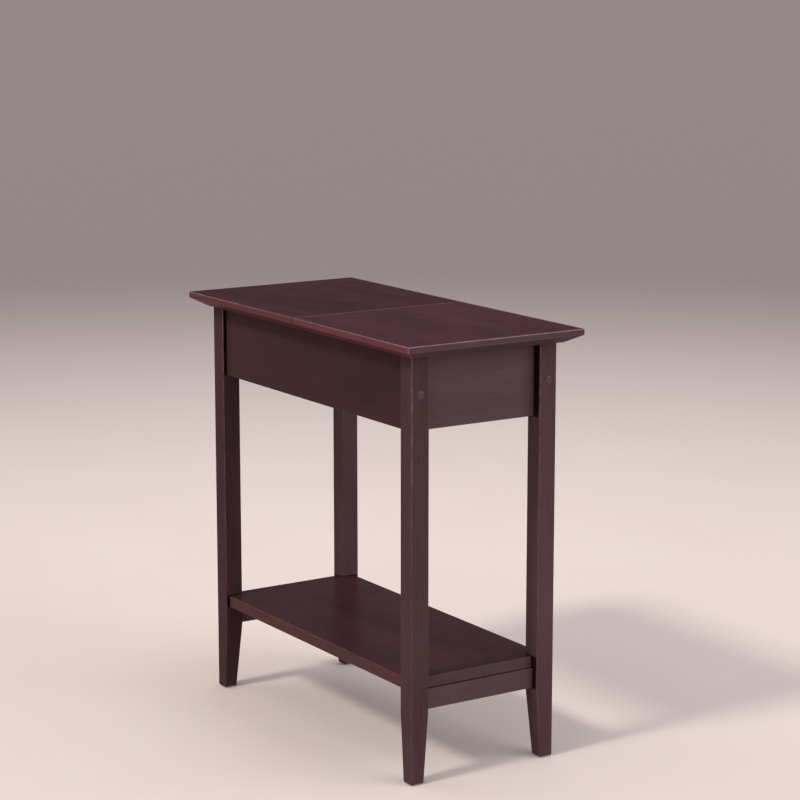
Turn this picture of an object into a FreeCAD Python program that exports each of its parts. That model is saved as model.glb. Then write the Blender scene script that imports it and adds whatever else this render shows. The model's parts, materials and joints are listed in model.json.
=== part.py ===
import FreeCAD, Part
import math
import os

# Lift top end table, in millimetres.
# +X is the table's right side, -Y its front end, +Z up. The origin is on the floor, under the
# middle of the table. The front half of the top is a lid. It rises and comes forward on four
# links, two at each side, and stays level.

# ---- Whole table -------------------------------------------------------------------------
TABLE_W = 286.0         # width of the top, along X
TABLE_L = 603.0         # length of the top, along Y
TABLE_H = 610.0         # floor to upper face of the top

# ---- Top ---------------------------------------------------------------------------------
TOP_T = 20.0            # thickness of the top
BAND_H = 8.5            # upright band of the top's edge
BEVEL_IN = 20.0         # how far the bevel under the band runs in
TOP_EASE = 1.2          # rounding of the upper arris
CORNER_R = 2.0          # rounding of the top's corners, seen from above
SEAM_Y = -5.0           # middle of the seam between lid and fixed top
SEAM_GAP = 1.0          # width of the seam
LID_GAP = 0.5           # air between the closed lid and the aprons

# ---- Legs --------------------------------------------------------------------------------
OVERHANG_SIDE = 25.0    # top's edge to the legs' outer faces, at the long sides
OVERHANG_END = 30.0     # the same at the short ends
LEG = 28.0              # square section of a leg
FOOT = 20.5             # section at the floor, tapered on the two inner faces
TAPER_BELOW = 1.5       # the taper starts this far under the stretchers
LEG_EASE = 1.5          # rounding of a leg's arrises
FOOT_EASE = 1.2         # chamfer round the foot
GLIDE_H = 1.5           # what a glide lifts the leg off the floor
GLIDE_D = 15.0
GLIDE_NAIL_D = 2.5
GLIDE_NAIL_L = 12.0

# ---- Aprons ------------------------------------------------------------------------------
APRON_H = 102.0
SIDE_T = 15.0           # thickness of the long side aprons
SIDE_IN = 6.5           # their outer faces stand back from the legs' outer faces
END_T = 12.0            # thickness of the short end aprons
END_IN = 14.0           # their outer faces stand back from the legs' outer faces
BOARD_EASE = 1.0        # rounding along the boards' free edges

# ---- Compartment -------------------------------------------------------------------------
FLOOR_T = 5.0           # panel that is the compartment's floor
FLOOR_UP = 6.0          # its underside above the aprons' lower edges
GROOVE = 5.0            # depth of the grooves that hold it
GROOVE_PLAY = 0.1       # room above and below the panel in its groove
PANEL_PLAY = 0.5        # room at the ends of panels and notches
RAIL_T = 18.0           # centre rail under the seam
RAIL_H = 45.0
CLEAT = 15.0            # square section of the cleats that hold the fixed top
CLEAT_RAIL_GAP = 16.0   # centre rail to the front end of a cleat
CLEAT_LEG_GAP = 23.5    # a cleat's rear end to the back legs' inner faces

# ---- Shelf -------------------------------------------------------------------------------
STRETCH_Z = 101.5       # underside of the stretchers
STRETCH_H = 28.5
STRETCH_T = 15.0
STRETCH_IN = 10.0       # outer faces stand back from the legs' outer faces
SHELF_T = 17.0
SHELF_SIDE_IN = 5.5     # shelf's long edges stand back from the legs' outer faces
SHELF_END_IN = 12.0     # the same at its short ends

# ---- Joinery -----------------------------------------------------------------------------
FIT = 0.05              # radial room of dowels, screws and pins in their own holes
DOWEL_D = 6.0
DOWEL_L = 26.0
DOWEL_EASE = 0.8
DOWEL_PLAY = 0.5        # room for glue past a dowel's end
DOWEL_SPAN = 50.0       # between the two dowels of an end apron's joint
STRETCH_DOWEL_SPAN = 13.0
RAIL_DOWEL_SPAN = 22.0
RAIL_DOWEL_IN = 9.0     # how deep a rail dowel sits in the side apron
BOLT_D = 6.0
BOLT_HEAD_D = 10.0
BOLT_HEAD_H = 4.5
HEX = 6
BOLT_SOCKET = 5.0       # its hexagon, across the flats
BOLT_SOCKET_DEPTH = 2.5
BOLT_ROOM = 0.2         # radial room of the bolt in wood
BORE_DEPTH = 9.0        # counterbore in the leg
BOLT_PAST_NUT = 7.0
NUT_D = 10.0            # barrel nut
NUT_L = 12.0
NUT_IN = 17.5           # leg's inner face to the middle of the nut
NUT_SLOT = 1.2
CAP_D = 11.5            # push-in cap over a bolt
CAP_RISE = 1.4
CAP_RIM = 0.5
CAP_PLUG = 3.0
SCREW_D = 3.5
SCREW_HEAD_D = 7.0
SCREW_HEAD_H = 2.2
SCREW_TIP = 4.0
SCREW_BITE = 11.0       # how deep screws reach into the wood that they hold
SHELF_SCREW_SPAN = 100.0
TOP_SCREWS = 3          # screws up through each cleat
CLEAT_SCREWS = 2        # screws from each cleat into its side apron
CLEAT_SCREW_SET = 35.0  # from the cleat's ends
TOP_SCREW_SET = 18.0
BUMPER_D = 6.0
BUMPER_DEPTH = 2.0
BUMPER_EASE = 0.4
BUMPER_SPAN = 140.0
BUMPER_BACK = 5.0       # seam to the rear bumpers' centres

# ---- Lift mechanism ----------------------------------------------------------------------
PIVOT_SET = 49.0        # front base pivots behind the front legs' inner faces
LINK_W = 20.0
LINK_T = 2.5
LINK_REST = 5.0         # links' slope when the lid is down, in degrees above level, to the rear
LINK_SWING = 105.0      # how far they turn from there to the stop
PIVOT_GAP = 45.0        # between the two pivots on one bracket
PIVOT_SLOPE = 147.0     # slope of the line from rear to front pivot, from the rear level
PIVOT_UP = 23.0         # rear base pivot above the compartment's floor
RAIL_CLEAR = 3.0        # links' rear ends to the centre rail; it sets how long the links are
BRACKET_T = 2.5         # sheet of the base and lid brackets
BEND_R = 1.5            # inside radius of the brackets' bend
PIN_D = 7.0
PIN_HEAD_D = 13.0
PIN_HEAD_H = 1.8
PIN_HEAD_EASE = 0.5
RUN = 0.06              # radial running room of a pin in a link
OPEN_RUN = 0.1          # the same at the front lid pivots
WASHER_D = 14.0
WASHER_T = 0.8
BASE_FLANGE = 18.0      # width of the base bracket's foot
BASE_BOSS_R = 9.0       # metal round the points that shape the base bracket
BASE_FRONT = 5.0        # foot's front corner ahead of the front base pivot
BASE_REAR = 15.0        # foot's rear corner behind the rear base pivot
BASE_CORNER_R = 4.0
STOP_D = 6.0            # stop pin for the front link
STOP_ALONG = 24.0       # from the front base pivot, along the raised link
STOP_ROOM = 0.3
STOP_PROUD = 0.4        # how far the stop pin reaches past the link
LID_FLANGE = 24.0
LID_BOSS_R = 10.0
LID_BRACKET_MORE = 6.0  # lid bracket ahead of its front pivot
LID_CORNER_R = 5.0
LID_SCREWS = 3
LID_SCREW_SET = 10.0    # from the flange's ends
BAR_D = 10.0            # cross bar between the rear links
BAR_END_D = 7.0
BAR_ALONG = 40.0        # from the rear base pivot
SPRING_WIRE = 1.8
SPRING_PITCH = 1.9
SPRING_ID = 9.0
SPRING_TURNS = 5
SPRING_LEAVE = 0.15     # the wire's ends leave the coil this far outside its middle line
SPRING_ARM = 22.0       # along the rear link, from the pin to the hook
SPRING_BEND = 1.5       # radius of the hook's bend
SPRING_PLAY = 0.2       # end room of the coil
SPRING_HOLE = 0.1       # radial room of the spring's ends in their holes

# ---- Places that follow from the sizes ---------------------------------------------------
HALF_W = TABLE_W / 2
HALF_L = TABLE_L / 2
LEG_TOP = TABLE_H - TOP_T
BAND_Z = TABLE_H - BAND_H
LID_UNDER = LEG_TOP + LID_GAP
LID_BACK = SEAM_Y - SEAM_GAP / 2
FIXED_FRONT = SEAM_Y + SEAM_GAP / 2

LEG_X = HALF_W - OVERHANG_SIDE          # legs' outer faces
LEG_Y = HALF_L - OVERHANG_END
LEG_INX = LEG_X - LEG                   # legs' inner faces
LEG_INY = LEG_Y - LEG
TAPER_Z = STRETCH_Z - TAPER_BELOW

APRON_Z = LEG_TOP - APRON_H
SIDE_X = LEG_X - SIDE_IN                # side aprons' outer faces
SIDE_INX = SIDE_X - SIDE_T
END_Y = LEG_Y - END_IN
END_INY = END_Y - END_T
FLOOR_Z = APRON_Z + FLOOR_UP
FLOOR_TOP = FLOOR_Z + FLOOR_T
RAIL_FRONT = SEAM_Y - RAIL_T / 2
RAIL_BACK = SEAM_Y + RAIL_T / 2
CLEAT_FRONT = RAIL_BACK + CLEAT_RAIL_GAP
CLEAT_BACK = LEG_INY - CLEAT_LEG_GAP
CLEAT_INX = SIDE_INX - CLEAT

STRETCH_Y = LEG_Y - STRETCH_IN
STRETCH_INY = STRETCH_Y - STRETCH_T
SHELF_Z = STRETCH_Z + STRETCH_H
SHELF_X = LEG_X - SHELF_SIDE_IN
SHELF_Y = LEG_Y - SHELF_END_IN

BOLT_X = SIDE_X - SIDE_T / 2            # bolts run in the middle of the side aprons
BOLT_Z = LEG_TOP - APRON_H / 2
NUT_Y = LEG_INY - NUT_IN

# Depths of the mechanism are measured inwards from a side apron's inner face.
LINK_U = BRACKET_T + WASHER_T           # links' outer faces
LINK_INU = LINK_U + LINK_T
INNER_U = LINK_INU + WASHER_T           # whatever lies inside the links
LID_WEB_INU = INNER_U + BRACKET_T
SPRING_U = INNER_U + SPRING_PLAY
SPRING_INU = SPRING_U + SPRING_TURNS * SPRING_PITCH
SPRING_R = (SPRING_ID + SPRING_WIRE) / 2
SPRING_END_R = SPRING_R + SPRING_LEAVE

LEFT, RIGHT = -1, 1
FRONT, BACK = -1, 1
SIDES = {"left": LEFT, "right": RIGHT}
ENDS = {"front": FRONT, "back": BACK}
X_AXIS = FreeCAD.Vector(1, 0, 0)
Y_AXIS = FreeCAD.Vector(0, 1, 0)
Z_AXIS = FreeCAD.Vector(0, 0, 1)


# ---- Geometry helpers --------------------------------------------------------------------
def vec(x, y, z):
    return FreeCAD.Vector(x, y, z)


def block(x, y, z):
    """Box between two values on each axis, given in any order."""
    low = [min(pair) for pair in (x, y, z)]
    size = [abs(pair[1] - pair[0]) for pair in (x, y, z)]
    return Part.makeBox(size[0], size[1], size[2], vec(low[0], low[1], low[2]))


def whole(shape):
    """The single solid of a boolean's result."""
    return shape.Solids[0]


def drilled(solid, cutters):
    """A solid less all its holes."""
    return whole(solid.cut(cutters))


def turned(profile, start, direction):
    """Solid turned about a line. The profile is (distance along the line, radius) points."""
    points = [vec(radius, 0, along) for along, radius in profile]
    solid = Part.Face(Part.makePolygon(points + points[:1])).revolve(vec(0, 0, 0), Z_AXIS, 360)
    solid.Placement = FreeCAD.Placement(start, FreeCAD.Rotation(Z_AXIS, direction))
    return solid


def level_outline(x, y, z, radii):
    """Level rectangle with rounded corners, its radii anticlockwise from the low x, low y one."""
    x0, x1 = sorted(x)
    y0, y1 = sorted(y)
    corners = [(x0, y0, 1, 1), (x1, y0, -1, 1), (x1, y1, -1, -1), (x0, y1, 1, -1)]
    bulge = 1 - math.sqrt(0.5)
    edges = []
    ends = []
    for number, ((cx, cy, ix, iy), radius) in enumerate(zip(corners, radii)):
        along_x = vec(cx + ix * radius, cy, z)
        along_y = vec(cx, cy + iy * radius, z)
        middle = vec(cx + ix * radius * bulge, cy + iy * radius * bulge, z)
        pair = (along_y, along_x) if number % 2 == 0 else (along_x, along_y)
        arc = Part.Arc(pair[0], middle, pair[1]).toShape() if radius else None
        ends.append((pair[0], arc, pair[1]))
    for number, (_, arc, leaving) in enumerate(ends):
        if arc:
            edges.append(arc)
        arriving = ends[(number + 1) % len(ends)][0]
        edges.append(Part.LineSegment(leaving, arriving).toShape())
    return Part.Wire(edges)


def eased(solid, radius, wanted):
    """Round the edges for which wanted(edge's box) is true."""
    return solid.makeFillet(radius, [edge for edge in solid.Edges if wanted(edge.BoundBox)])


def inboard(side, u):
    """X of a depth u, measured inwards from a side apron's inner face."""
    return side * (SIDE_INX - u)


def inward(side):
    return X_AXIS * -side


# ---- Lift mechanism's pivot points, as (y, z) --------------------------------------------
def polar(origin, degrees, distance):
    """Point at a distance from another, its slope measured from the rear level upwards."""
    angle = math.radians(degrees)
    return (origin[0] + distance * math.cos(angle), origin[1] + distance * math.sin(angle))


def closed_pivots():
    """Rear base, front base, rear lid and front lid pivot, with the lid down."""
    front_base_y = PIVOT_SET - LEG_INY
    rear_base = (front_base_y - polar((0, 0), PIVOT_SLOPE, PIVOT_GAP)[0], FLOOR_TOP + PIVOT_UP)
    front_base = polar(rear_base, PIVOT_SLOPE, PIVOT_GAP)
    room = RAIL_FRONT - RAIL_CLEAR - LINK_W / 2 - rear_base[0]
    length = room / math.cos(math.radians(LINK_REST))
    return rear_base, front_base, polar(rear_base, LINK_REST, length), polar(front_base, LINK_REST, length)


REAR_BASE, FRONT_BASE, REAR_LID, FRONT_LID = closed_pivots()
OPEN_SLOPE = LINK_REST + LINK_SWING
STOP = polar(polar(FRONT_BASE, OPEN_SLOPE, STOP_ALONG), OPEN_SLOPE + 90, LINK_W / 2 + STOP_D / 2 + STOP_ROOM)
FOOT_FRONT = (FRONT_BASE[0] - BASE_FRONT, FLOOR_TOP + BASE_BOSS_R)
FOOT_REAR = (REAR_BASE[0] + BASE_REAR, FLOOR_TOP + BASE_BOSS_R)
BASE_SCREWS = [FOOT_FRONT, FOOT_REAR, ((FRONT_BASE[0] + STOP[0]) / 2, (FRONT_BASE[1] + STOP[1]) / 2)]
BAR = polar(REAR_BASE, LINK_REST, BAR_ALONG)
SPRING_HOOK = polar(polar(REAR_BASE, LINK_REST, SPRING_ARM), LINK_REST - 90, SPRING_END_R)
SPRING_FOOT_Y = REAR_BASE[0] + SPRING_END_R
SPRING_FOOT_U = SPRING_INU - SPRING_PITCH / 2
LID_BRACKET_FRONT = FRONT_LID[0] - LID_BRACKET_MORE - LID_BOSS_R
LID_BRACKET_BACK = REAR_LID[0] + LID_BOSS_R
LID_SCREW_U = INNER_U + (LID_FLANGE + BRACKET_T) / 2


def side_point(side, u, point):
    return vec(inboard(side, u), point[0], point[1])


def side_rod(side, radius, u0, u1, point):
    """Round bar across a side's upright plane, from depth u0 to depth u1."""
    return Part.makeCylinder(radius, u1 - u0, side_point(side, u0, point), inward(side))


def side_plate(side, wire, u0, u1):
    """Plate cut to a wire that was drawn in the plane x = 0."""
    plate = Part.Face(wire).extrude(X_AXIS * (u1 - u0))
    plate.translate(vec(min(inboard(side, u0), inboard(side, u1)), 0, 0))
    return plate


def bar_outline(a, b, radius):
    """Outline of a flat bar with round ends about two points."""
    length = math.dist(a, b)
    along = vec(0, (b[0] - a[0]) / length, (b[1] - a[1]) / length) * radius
    across = X_AXIS.cross(along)
    start = vec(0, a[0], a[1])
    end = vec(0, b[0], b[1])
    return Part.Wire([
        Part.LineSegment(start - across, end - across).toShape(),
        Part.Arc(end - across, end + along, end + across).toShape(),
        Part.LineSegment(end + across, start + across).toShape(),
        Part.Arc(start + across, start - along, start - across).toShape(),
    ])


def boss_outline(points, radius):
    """Outline that runs at one radius round a polygon's corners."""
    corners = [vec(0, y, z) for y, z in points]
    return Part.Face(Part.makePolygon(corners + corners[:1])).makeOffset2D(radius).OuterWire


def bent_sheet(side, u, z, up, height, flange, y):
    """Sheet bent along Y: a web at depth u and a level flange at z. The web goes up or down."""
    outer = BEND_R + BRACKET_T
    slant = 1 - math.sqrt(0.5)
    inner_slant = outer - BEND_R * math.sqrt(0.5)

    def at(du, dz):
        return vec(inboard(side, u + du), y[0], z + up * dz)

    wire = Part.Wire([
        Part.Arc(at(0, outer), at(outer * slant, outer * slant), at(outer, 0)).toShape(),
        Part.LineSegment(at(outer, 0), at(flange, 0)).toShape(),
        Part.LineSegment(at(flange, 0), at(flange, BRACKET_T)).toShape(),
        Part.LineSegment(at(flange, BRACKET_T), at(outer, BRACKET_T)).toShape(),
        Part.Arc(at(outer, BRACKET_T), at(inner_slant, inner_slant), at(BRACKET_T, outer)).toShape(),
        Part.LineSegment(at(BRACKET_T, outer), at(BRACKET_T, height)).toShape(),
        Part.LineSegment(at(BRACKET_T, height), at(0, height)).toShape(),
        Part.LineSegment(at(0, height), at(0, outer)).toShape(),
    ])
    return Part.Face(wire).extrude(Y_AXIS * (y[1] - y[0]))


# ---- Fasteners, each also made a little larger as the hole that it goes in ---------------
def wood_screw(start, direction, length, room=0.0):
    """Countersunk screw: start is the middle of its flat head."""
    shank = SCREW_D / 2 + room
    return turned([(0, 0), (0, SCREW_HEAD_D / 2 + room), (SCREW_HEAD_H, shank),
                   (length - SCREW_TIP, shank), (length + room, 0)], start, direction)


def dowel(start, direction, length):
    radius = DOWEL_D / 2
    return turned([(0, 0), (0, radius - DOWEL_EASE), (DOWEL_EASE, radius), (length - DOWEL_EASE, radius),
                   (length, radius - DOWEL_EASE), (length, 0)], start, direction)


def dowel_hole(start, direction, length):
    deep = length + 2 * DOWEL_PLAY
    return Part.makeCylinder(DOWEL_D / 2 + FIT, deep, start - direction * DOWEL_PLAY, direction)


def frame_dowel_places():
    """Start of each dowel between a leg and an end apron or stretcher, with its direction."""
    joints = [((END_Y + END_INY) / 2, BOLT_Z, DOWEL_SPAN),
              ((STRETCH_Y + STRETCH_INY) / 2, (STRETCH_Z + SHELF_Z) / 2, STRETCH_DOWEL_SPAN)]
    return [(vec(side * (LEG_INX - DOWEL_L / 2), end * y, z + step * span / 2), X_AXIS * side)
            for y, z, span in joints for end in (FRONT, BACK) for side in (LEFT, RIGHT) for step in (-1, 1)]


def rail_dowel_places():
    start = SIDE_INX + RAIL_DOWEL_IN - DOWEL_L
    middle = LEG_TOP - RAIL_H / 2
    return [(vec(side * start, SEAM_Y, middle + step * RAIL_DOWEL_SPAN / 2), X_AXIS * side)
            for side in (LEFT, RIGHT) for step in (-1, 1)]


def bolt_start(side, end):
    return vec(side * BOLT_X, end * LEG_Y, BOLT_Z), Y_AXIS * -end


def bolt_length():
    return LEG + NUT_IN + BOLT_PAST_NUT


def bolt(side, end):
    """Socket-head bolt, its head at the bottom of the leg's counterbore."""
    start, direction = bolt_start(side, end)
    head = BORE_DEPTH - BOLT_HEAD_H
    tip = bolt_length()
    body = turned([(head, 0), (head, BOLT_HEAD_D / 2), (BORE_DEPTH, BOLT_HEAD_D / 2),
                   (BORE_DEPTH, BOLT_D / 2), (tip, BOLT_D / 2), (tip, 0)], start, direction)
    radius = BOLT_SOCKET / 2 / math.cos(math.pi / HEX)
    turns = [2 * math.pi * k / HEX for k in range(HEX)]
    corners = [vec(radius * math.cos(turn), end * (LEG_Y - head), radius * math.sin(turn)) for turn in turns]
    socket = Part.Face(Part.makePolygon(corners + corners[:1])).extrude(direction * BOLT_SOCKET_DEPTH)
    socket.translate(vec(start.x, 0, start.z))
    return whole(body.cut(socket))


def bolt_hole(side, end):
    start, direction = bolt_start(side, end)
    wide = BOLT_HEAD_D / 2 + BOLT_ROOM
    narrow = BOLT_D / 2 + BOLT_ROOM
    deep = bolt_length() + BOLT_ROOM
    return turned([(0, 0), (0, wide), (BORE_DEPTH, wide), (BORE_DEPTH, narrow), (deep, narrow), (deep, 0)],
                  start, direction)


def bolt_cap(side, end):
    """Low domed cap with a plug that fills the mouth of the counterbore."""
    start, direction = bolt_start(side, end)
    rim = CAP_D / 2
    plug = BOLT_HEAD_D / 2 + BOLT_ROOM - FIT
    dome = CAP_RISE - CAP_RIM
    sphere = (rim * rim + dome * dome) / (2 * dome)
    half = math.asin(rim / sphere) / 2
    middle = vec(sphere * math.sin(half), 0, sphere * (1 - math.cos(half)) - CAP_RISE)
    arc = Part.Arc(vec(rim, 0, -CAP_RIM), middle, vec(0, 0, -CAP_RISE)).toShape()
    rest = Part.makePolygon([vec(0, 0, -CAP_RISE), vec(0, 0, CAP_PLUG), vec(plug, 0, CAP_PLUG),
                             vec(plug, 0, 0), vec(rim, 0, 0), vec(rim, 0, -CAP_RIM)])
    cap = Part.Face(Part.Wire([arc] + rest.Edges)).revolve(vec(0, 0, 0), Z_AXIS, 360)
    cap.Placement = FreeCAD.Placement(start, FreeCAD.Rotation(Z_AXIS, direction))
    return cap


def nut_start(side, end):
    return vec(side * SIDE_INX, end * NUT_Y, BOLT_Z)


def barrel_nut(side, end):
    """Barrel nut flush with the apron's inner face, with its thread's hole and a driver slot."""
    start = nut_start(side, end)
    barrel = Part.makeCylinder(NUT_D / 2, NUT_L, start, X_AXIS * side)
    thread_start = vec(side * BOLT_X, start.y - NUT_D, BOLT_Z)
    thread = Part.makeCylinder(BOLT_D / 2 + FIT, NUT_D * 2, thread_start, Y_AXIS)
    slot = block((start.x, start.x + side * NUT_SLOT), (start.y - NUT_D, start.y + NUT_D),
                 (BOLT_Z - NUT_SLOT / 2, BOLT_Z + NUT_SLOT / 2))
    return drilled(barrel, [thread, slot])


def nut_hole(side, end):
    return Part.makeCylinder(NUT_D / 2 + FIT, NUT_L + DOWEL_PLAY, nut_start(side, end), X_AXIS * side)


def shelf_screw_places():
    y = (STRETCH_Y + STRETCH_INY) / 2
    return [(vec(step * SHELF_SCREW_SPAN / 2, end * y, STRETCH_Z), Z_AXIS, STRETCH_H + SCREW_BITE)
            for end in (FRONT, BACK) for step in (-1, 1)]


def spread(low, high, count):
    """Evenly spaced values from low to high."""
    return [low + (high - low) * k / (count - 1) for k in range(count)]


def cleat_screw_places(side):
    rows = spread(CLEAT_FRONT + CLEAT_SCREW_SET, CLEAT_BACK - CLEAT_SCREW_SET, CLEAT_SCREWS)
    return [(vec(side * CLEAT_INX, y, LEG_TOP - CLEAT / 2), X_AXIS * side, CLEAT + SCREW_BITE) for y in rows]


def top_screw_places(side):
    rows = spread(CLEAT_FRONT + TOP_SCREW_SET, CLEAT_BACK - TOP_SCREW_SET, TOP_SCREWS)
    x = side * (SIDE_INX - CLEAT / 2)
    return [(vec(x, y, LEG_TOP - CLEAT), Z_AXIS, CLEAT + SCREW_BITE) for y in rows]


def base_screw_places(side):
    length = BRACKET_T + SCREW_BITE
    return [(side_point(side, BRACKET_T, point), X_AXIS * side, length) for point in BASE_SCREWS]


def lid_screw_places(side):
    rows = spread(LID_BRACKET_FRONT + LID_SCREW_SET, LID_BRACKET_BACK - LID_SCREW_SET, LID_SCREWS)
    return [(vec(inboard(side, LID_SCREW_U), y, LID_UNDER - BRACKET_T), Z_AXIS, BRACKET_T + SCREW_BITE)
            for y in rows]


def screws(places):
    return [wood_screw(*place) for place in places]


def screw_holes(places):
    return [wood_screw(*place, room=FIT) for place in places]


def bumper_places():
    front = -(END_Y + END_INY) / 2
    return [vec(step * BUMPER_SPAN / 2, y, LEG_TOP - BUMPER_DEPTH)
            for y in (front, LID_BACK - BUMPER_BACK + SEAM_GAP / 2) for step in (-1, 1)]


def bumper(place):
    radius = BUMPER_D / 2
    top = BUMPER_DEPTH + LID_GAP
    return turned([(0, 0), (0, radius), (top - BUMPER_EASE, radius), (top, radius - BUMPER_EASE), (top, 0)],
                  place, Z_AXIS)


def bumper_holes():
    return [Part.makeCylinder(BUMPER_D / 2 + FIT, TOP_T, place, Z_AXIS) for place in bumper_places()]


# ---- Legs, top and boards ----------------------------------------------------------------
def leg(side, end):
    """Square leg lofted from its foot: straight outer faces, inner faces tapered at the bottom."""
    def section(z, size, inset):
        x = (side * (LEG_X - inset), side * (LEG_X - size + inset))
        y = (end * (LEG_Y - inset), end * (LEG_Y - size + inset))
        return level_outline(x, y, z, [LEG_EASE] * 4)

    rise = FOOT_EASE * (LEG - FOOT) / (TAPER_Z - GLIDE_H)
    body = Part.makeLoft([section(GLIDE_H, FOOT, FOOT_EASE), section(GLIDE_H + FOOT_EASE, FOOT + rise, 0),
                          section(TAPER_Z, LEG, 0), section(LEG_TOP, LEG, 0)], True, True)
    nail = Part.makeCylinder(GLIDE_NAIL_D / 2 + FIT, GLIDE_NAIL_L + FIT, glide_place(side, end), Z_AXIS)
    dowels = [dowel_hole(place, way, DOWEL_L) for place, way in frame_dowel_places()]
    return drilled(body, [bolt_hole(side, end), nail] + dowels)


def glide_place(side, end):
    return vec(side * (LEG_X - FOOT / 2), end * (LEG_Y - FOOT / 2), GLIDE_H)


def glide(side, end):
    """Nail-on glide: a low disc under the foot, and its nail."""
    radius = GLIDE_D / 2
    nail = GLIDE_NAIL_D / 2
    return turned([(-GLIDE_H, 0), (-GLIDE_H, radius - GLIDE_H / 2), (-GLIDE_H / 2, radius), (0, radius),
                   (0, nail), (GLIDE_NAIL_L, nail), (GLIDE_NAIL_L, 0)], glide_place(side, end), Z_AXIS)


def top_panel(end, seam_edge, under):
    """Half of the top: an upright band round it over a bevel that runs in, square at the seam."""
    slope = BEVEL_IN / (BAND_Z - LEG_TOP)
    radii = [CORNER_R, CORNER_R, 0, 0] if end == FRONT else [0, 0, CORNER_R, CORNER_R]

    def section(z):
        inset = max(0.0, (BAND_Z - z) * slope)
        x = HALF_W - inset
        return level_outline((-x, x), (end * (HALF_L - inset), seam_edge), z, radii)

    def outer_arris(box):
        return box.ZMin > BAND_Z + BAND_H / 2 and abs(box.Center.y - seam_edge) > CORNER_R / 2

    panel = Part.makeLoft([section(under), section(BAND_Z), section(TABLE_H)], True, True)
    return eased(panel, TOP_EASE, outer_arris)


def long_edges(axis, outer):
    """Test for the board edges that lie along an axis, at a given value of Z."""
    def wanted(box):
        size = {"x": box.XLength, "y": box.YLength}[axis]
        across = min(box.XLength, box.YLength)
        return size > max(box.ZLength, across) and abs(box.Center.z - outer) < BOARD_EASE
    return wanted


def side_apron(side):
    """Long apron between two legs, grooved for the floor panel."""
    board = block((side * SIDE_X, side * SIDE_INX), (-LEG_INY, LEG_INY), (APRON_Z, LEG_TOP))
    board = eased(board, BOARD_EASE, long_edges("y", APRON_Z))
    groove = block((side * (SIDE_INX + GROOVE), side * (SIDE_INX - GROOVE)), (-LEG_Y, LEG_Y),
                   (FLOOR_Z - GROOVE_PLAY, FLOOR_TOP + GROOVE_PLAY))
    holes = [bolt_hole(side, end) for end in (FRONT, BACK)] + [nut_hole(side, end) for end in (FRONT, BACK)]
    holes += [dowel_hole(place, way, DOWEL_L) for place, way in rail_dowel_places()]
    holes += screw_holes(cleat_screw_places(side) + base_screw_places(side))
    return drilled(board, [groove] + holes)


def end_apron(end):
    """Short apron between two legs, grooved for the floor panel."""
    board = block((-LEG_INX, LEG_INX), (end * END_Y, end * END_INY), (APRON_Z, LEG_TOP))
    board = eased(board, BOARD_EASE, long_edges("x", APRON_Z))
    groove = block((-LEG_X, LEG_X), (end * (END_INY + GROOVE), end * (END_INY - GROOVE)),
                   (FLOOR_Z - GROOVE_PLAY, FLOOR_TOP + GROOVE_PLAY))
    holes = [dowel_hole(place, way, DOWEL_L) for place, way in frame_dowel_places()]
    return drilled(board, [groove] + holes + (bumper_holes() if end == FRONT else []))


def notched_board(half_x, half_y, z, ease):
    """Level board, its long edges rounded, with its four corners cut out round the legs."""
    board = block((-half_x, half_x), (-half_y, half_y), z)
    if ease:
        board = eased(board, ease, lambda box: box.ZLength < ease)
    notch_x = LEG_INX - PANEL_PLAY
    notch_y = LEG_INY - PANEL_PLAY
    notches = [block((side * notch_x, side * LEG_X), (end * notch_y, end * LEG_Y), z)
               for side in (LEFT, RIGHT) for end in (FRONT, BACK)]
    return whole(board.cut(notches))


def compartment_floor():
    into_groove = GROOVE - PANEL_PLAY
    return notched_board(SIDE_INX + into_groove, END_INY + into_groove, (FLOOR_Z, FLOOR_TOP), 0)


def shelf():
    board = notched_board(SHELF_X, SHELF_Y, (SHELF_Z, SHELF_Z + SHELF_T), BOARD_EASE)
    return drilled(board, screw_holes(shelf_screw_places()))


def stretcher(end):
    """Short board between two legs, under one end of the shelf."""
    board = block((-LEG_INX, LEG_INX), (end * STRETCH_Y, end * STRETCH_INY), (STRETCH_Z, SHELF_Z))
    board = eased(board, BOARD_EASE, lambda box: box.XLength > LEG_INX)
    dowels = [dowel_hole(place, way, DOWEL_L) for place, way in frame_dowel_places()]
    return drilled(board, dowels + screw_holes(shelf_screw_places()))


def centre_rail():
    rail = block((-SIDE_INX, SIDE_INX), (RAIL_FRONT, RAIL_BACK), (LEG_TOP - RAIL_H, LEG_TOP))
    rail = eased(rail, BOARD_EASE, long_edges("x", LEG_TOP - RAIL_H))
    dowels = [dowel_hole(place, way, DOWEL_L) for place, way in rail_dowel_places()]
    return drilled(rail, dowels + bumper_holes())


def top_cleat(side):
    cleat = block((side * SIDE_INX, side * CLEAT_INX), (CLEAT_FRONT, CLEAT_BACK), (LEG_TOP - CLEAT, LEG_TOP))
    return drilled(cleat, screw_holes(cleat_screw_places(side) + top_screw_places(side)))


def fixed_top():
    holes = [hole for side in (LEFT, RIGHT) for hole in screw_holes(top_screw_places(side))]
    return drilled(top_panel(BACK, FIXED_FRONT, LEG_TOP), holes)


def lid_panel():
    holes = [hole for side in (LEFT, RIGHT) for hole in screw_holes(lid_screw_places(side))]
    return drilled(top_panel(FRONT, LID_BACK, LID_UNDER), holes)


# ---- Lift mechanism ----------------------------------------------------------------------
def tip_rounded(bracket, tip, radius):
    """Round the upright edges at a level flange's tip, which lies at a given X."""
    return eased(bracket, radius, lambda box: box.ZLength > box.YLength and abs(box.Center.x - tip) < BEND_R)


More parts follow.
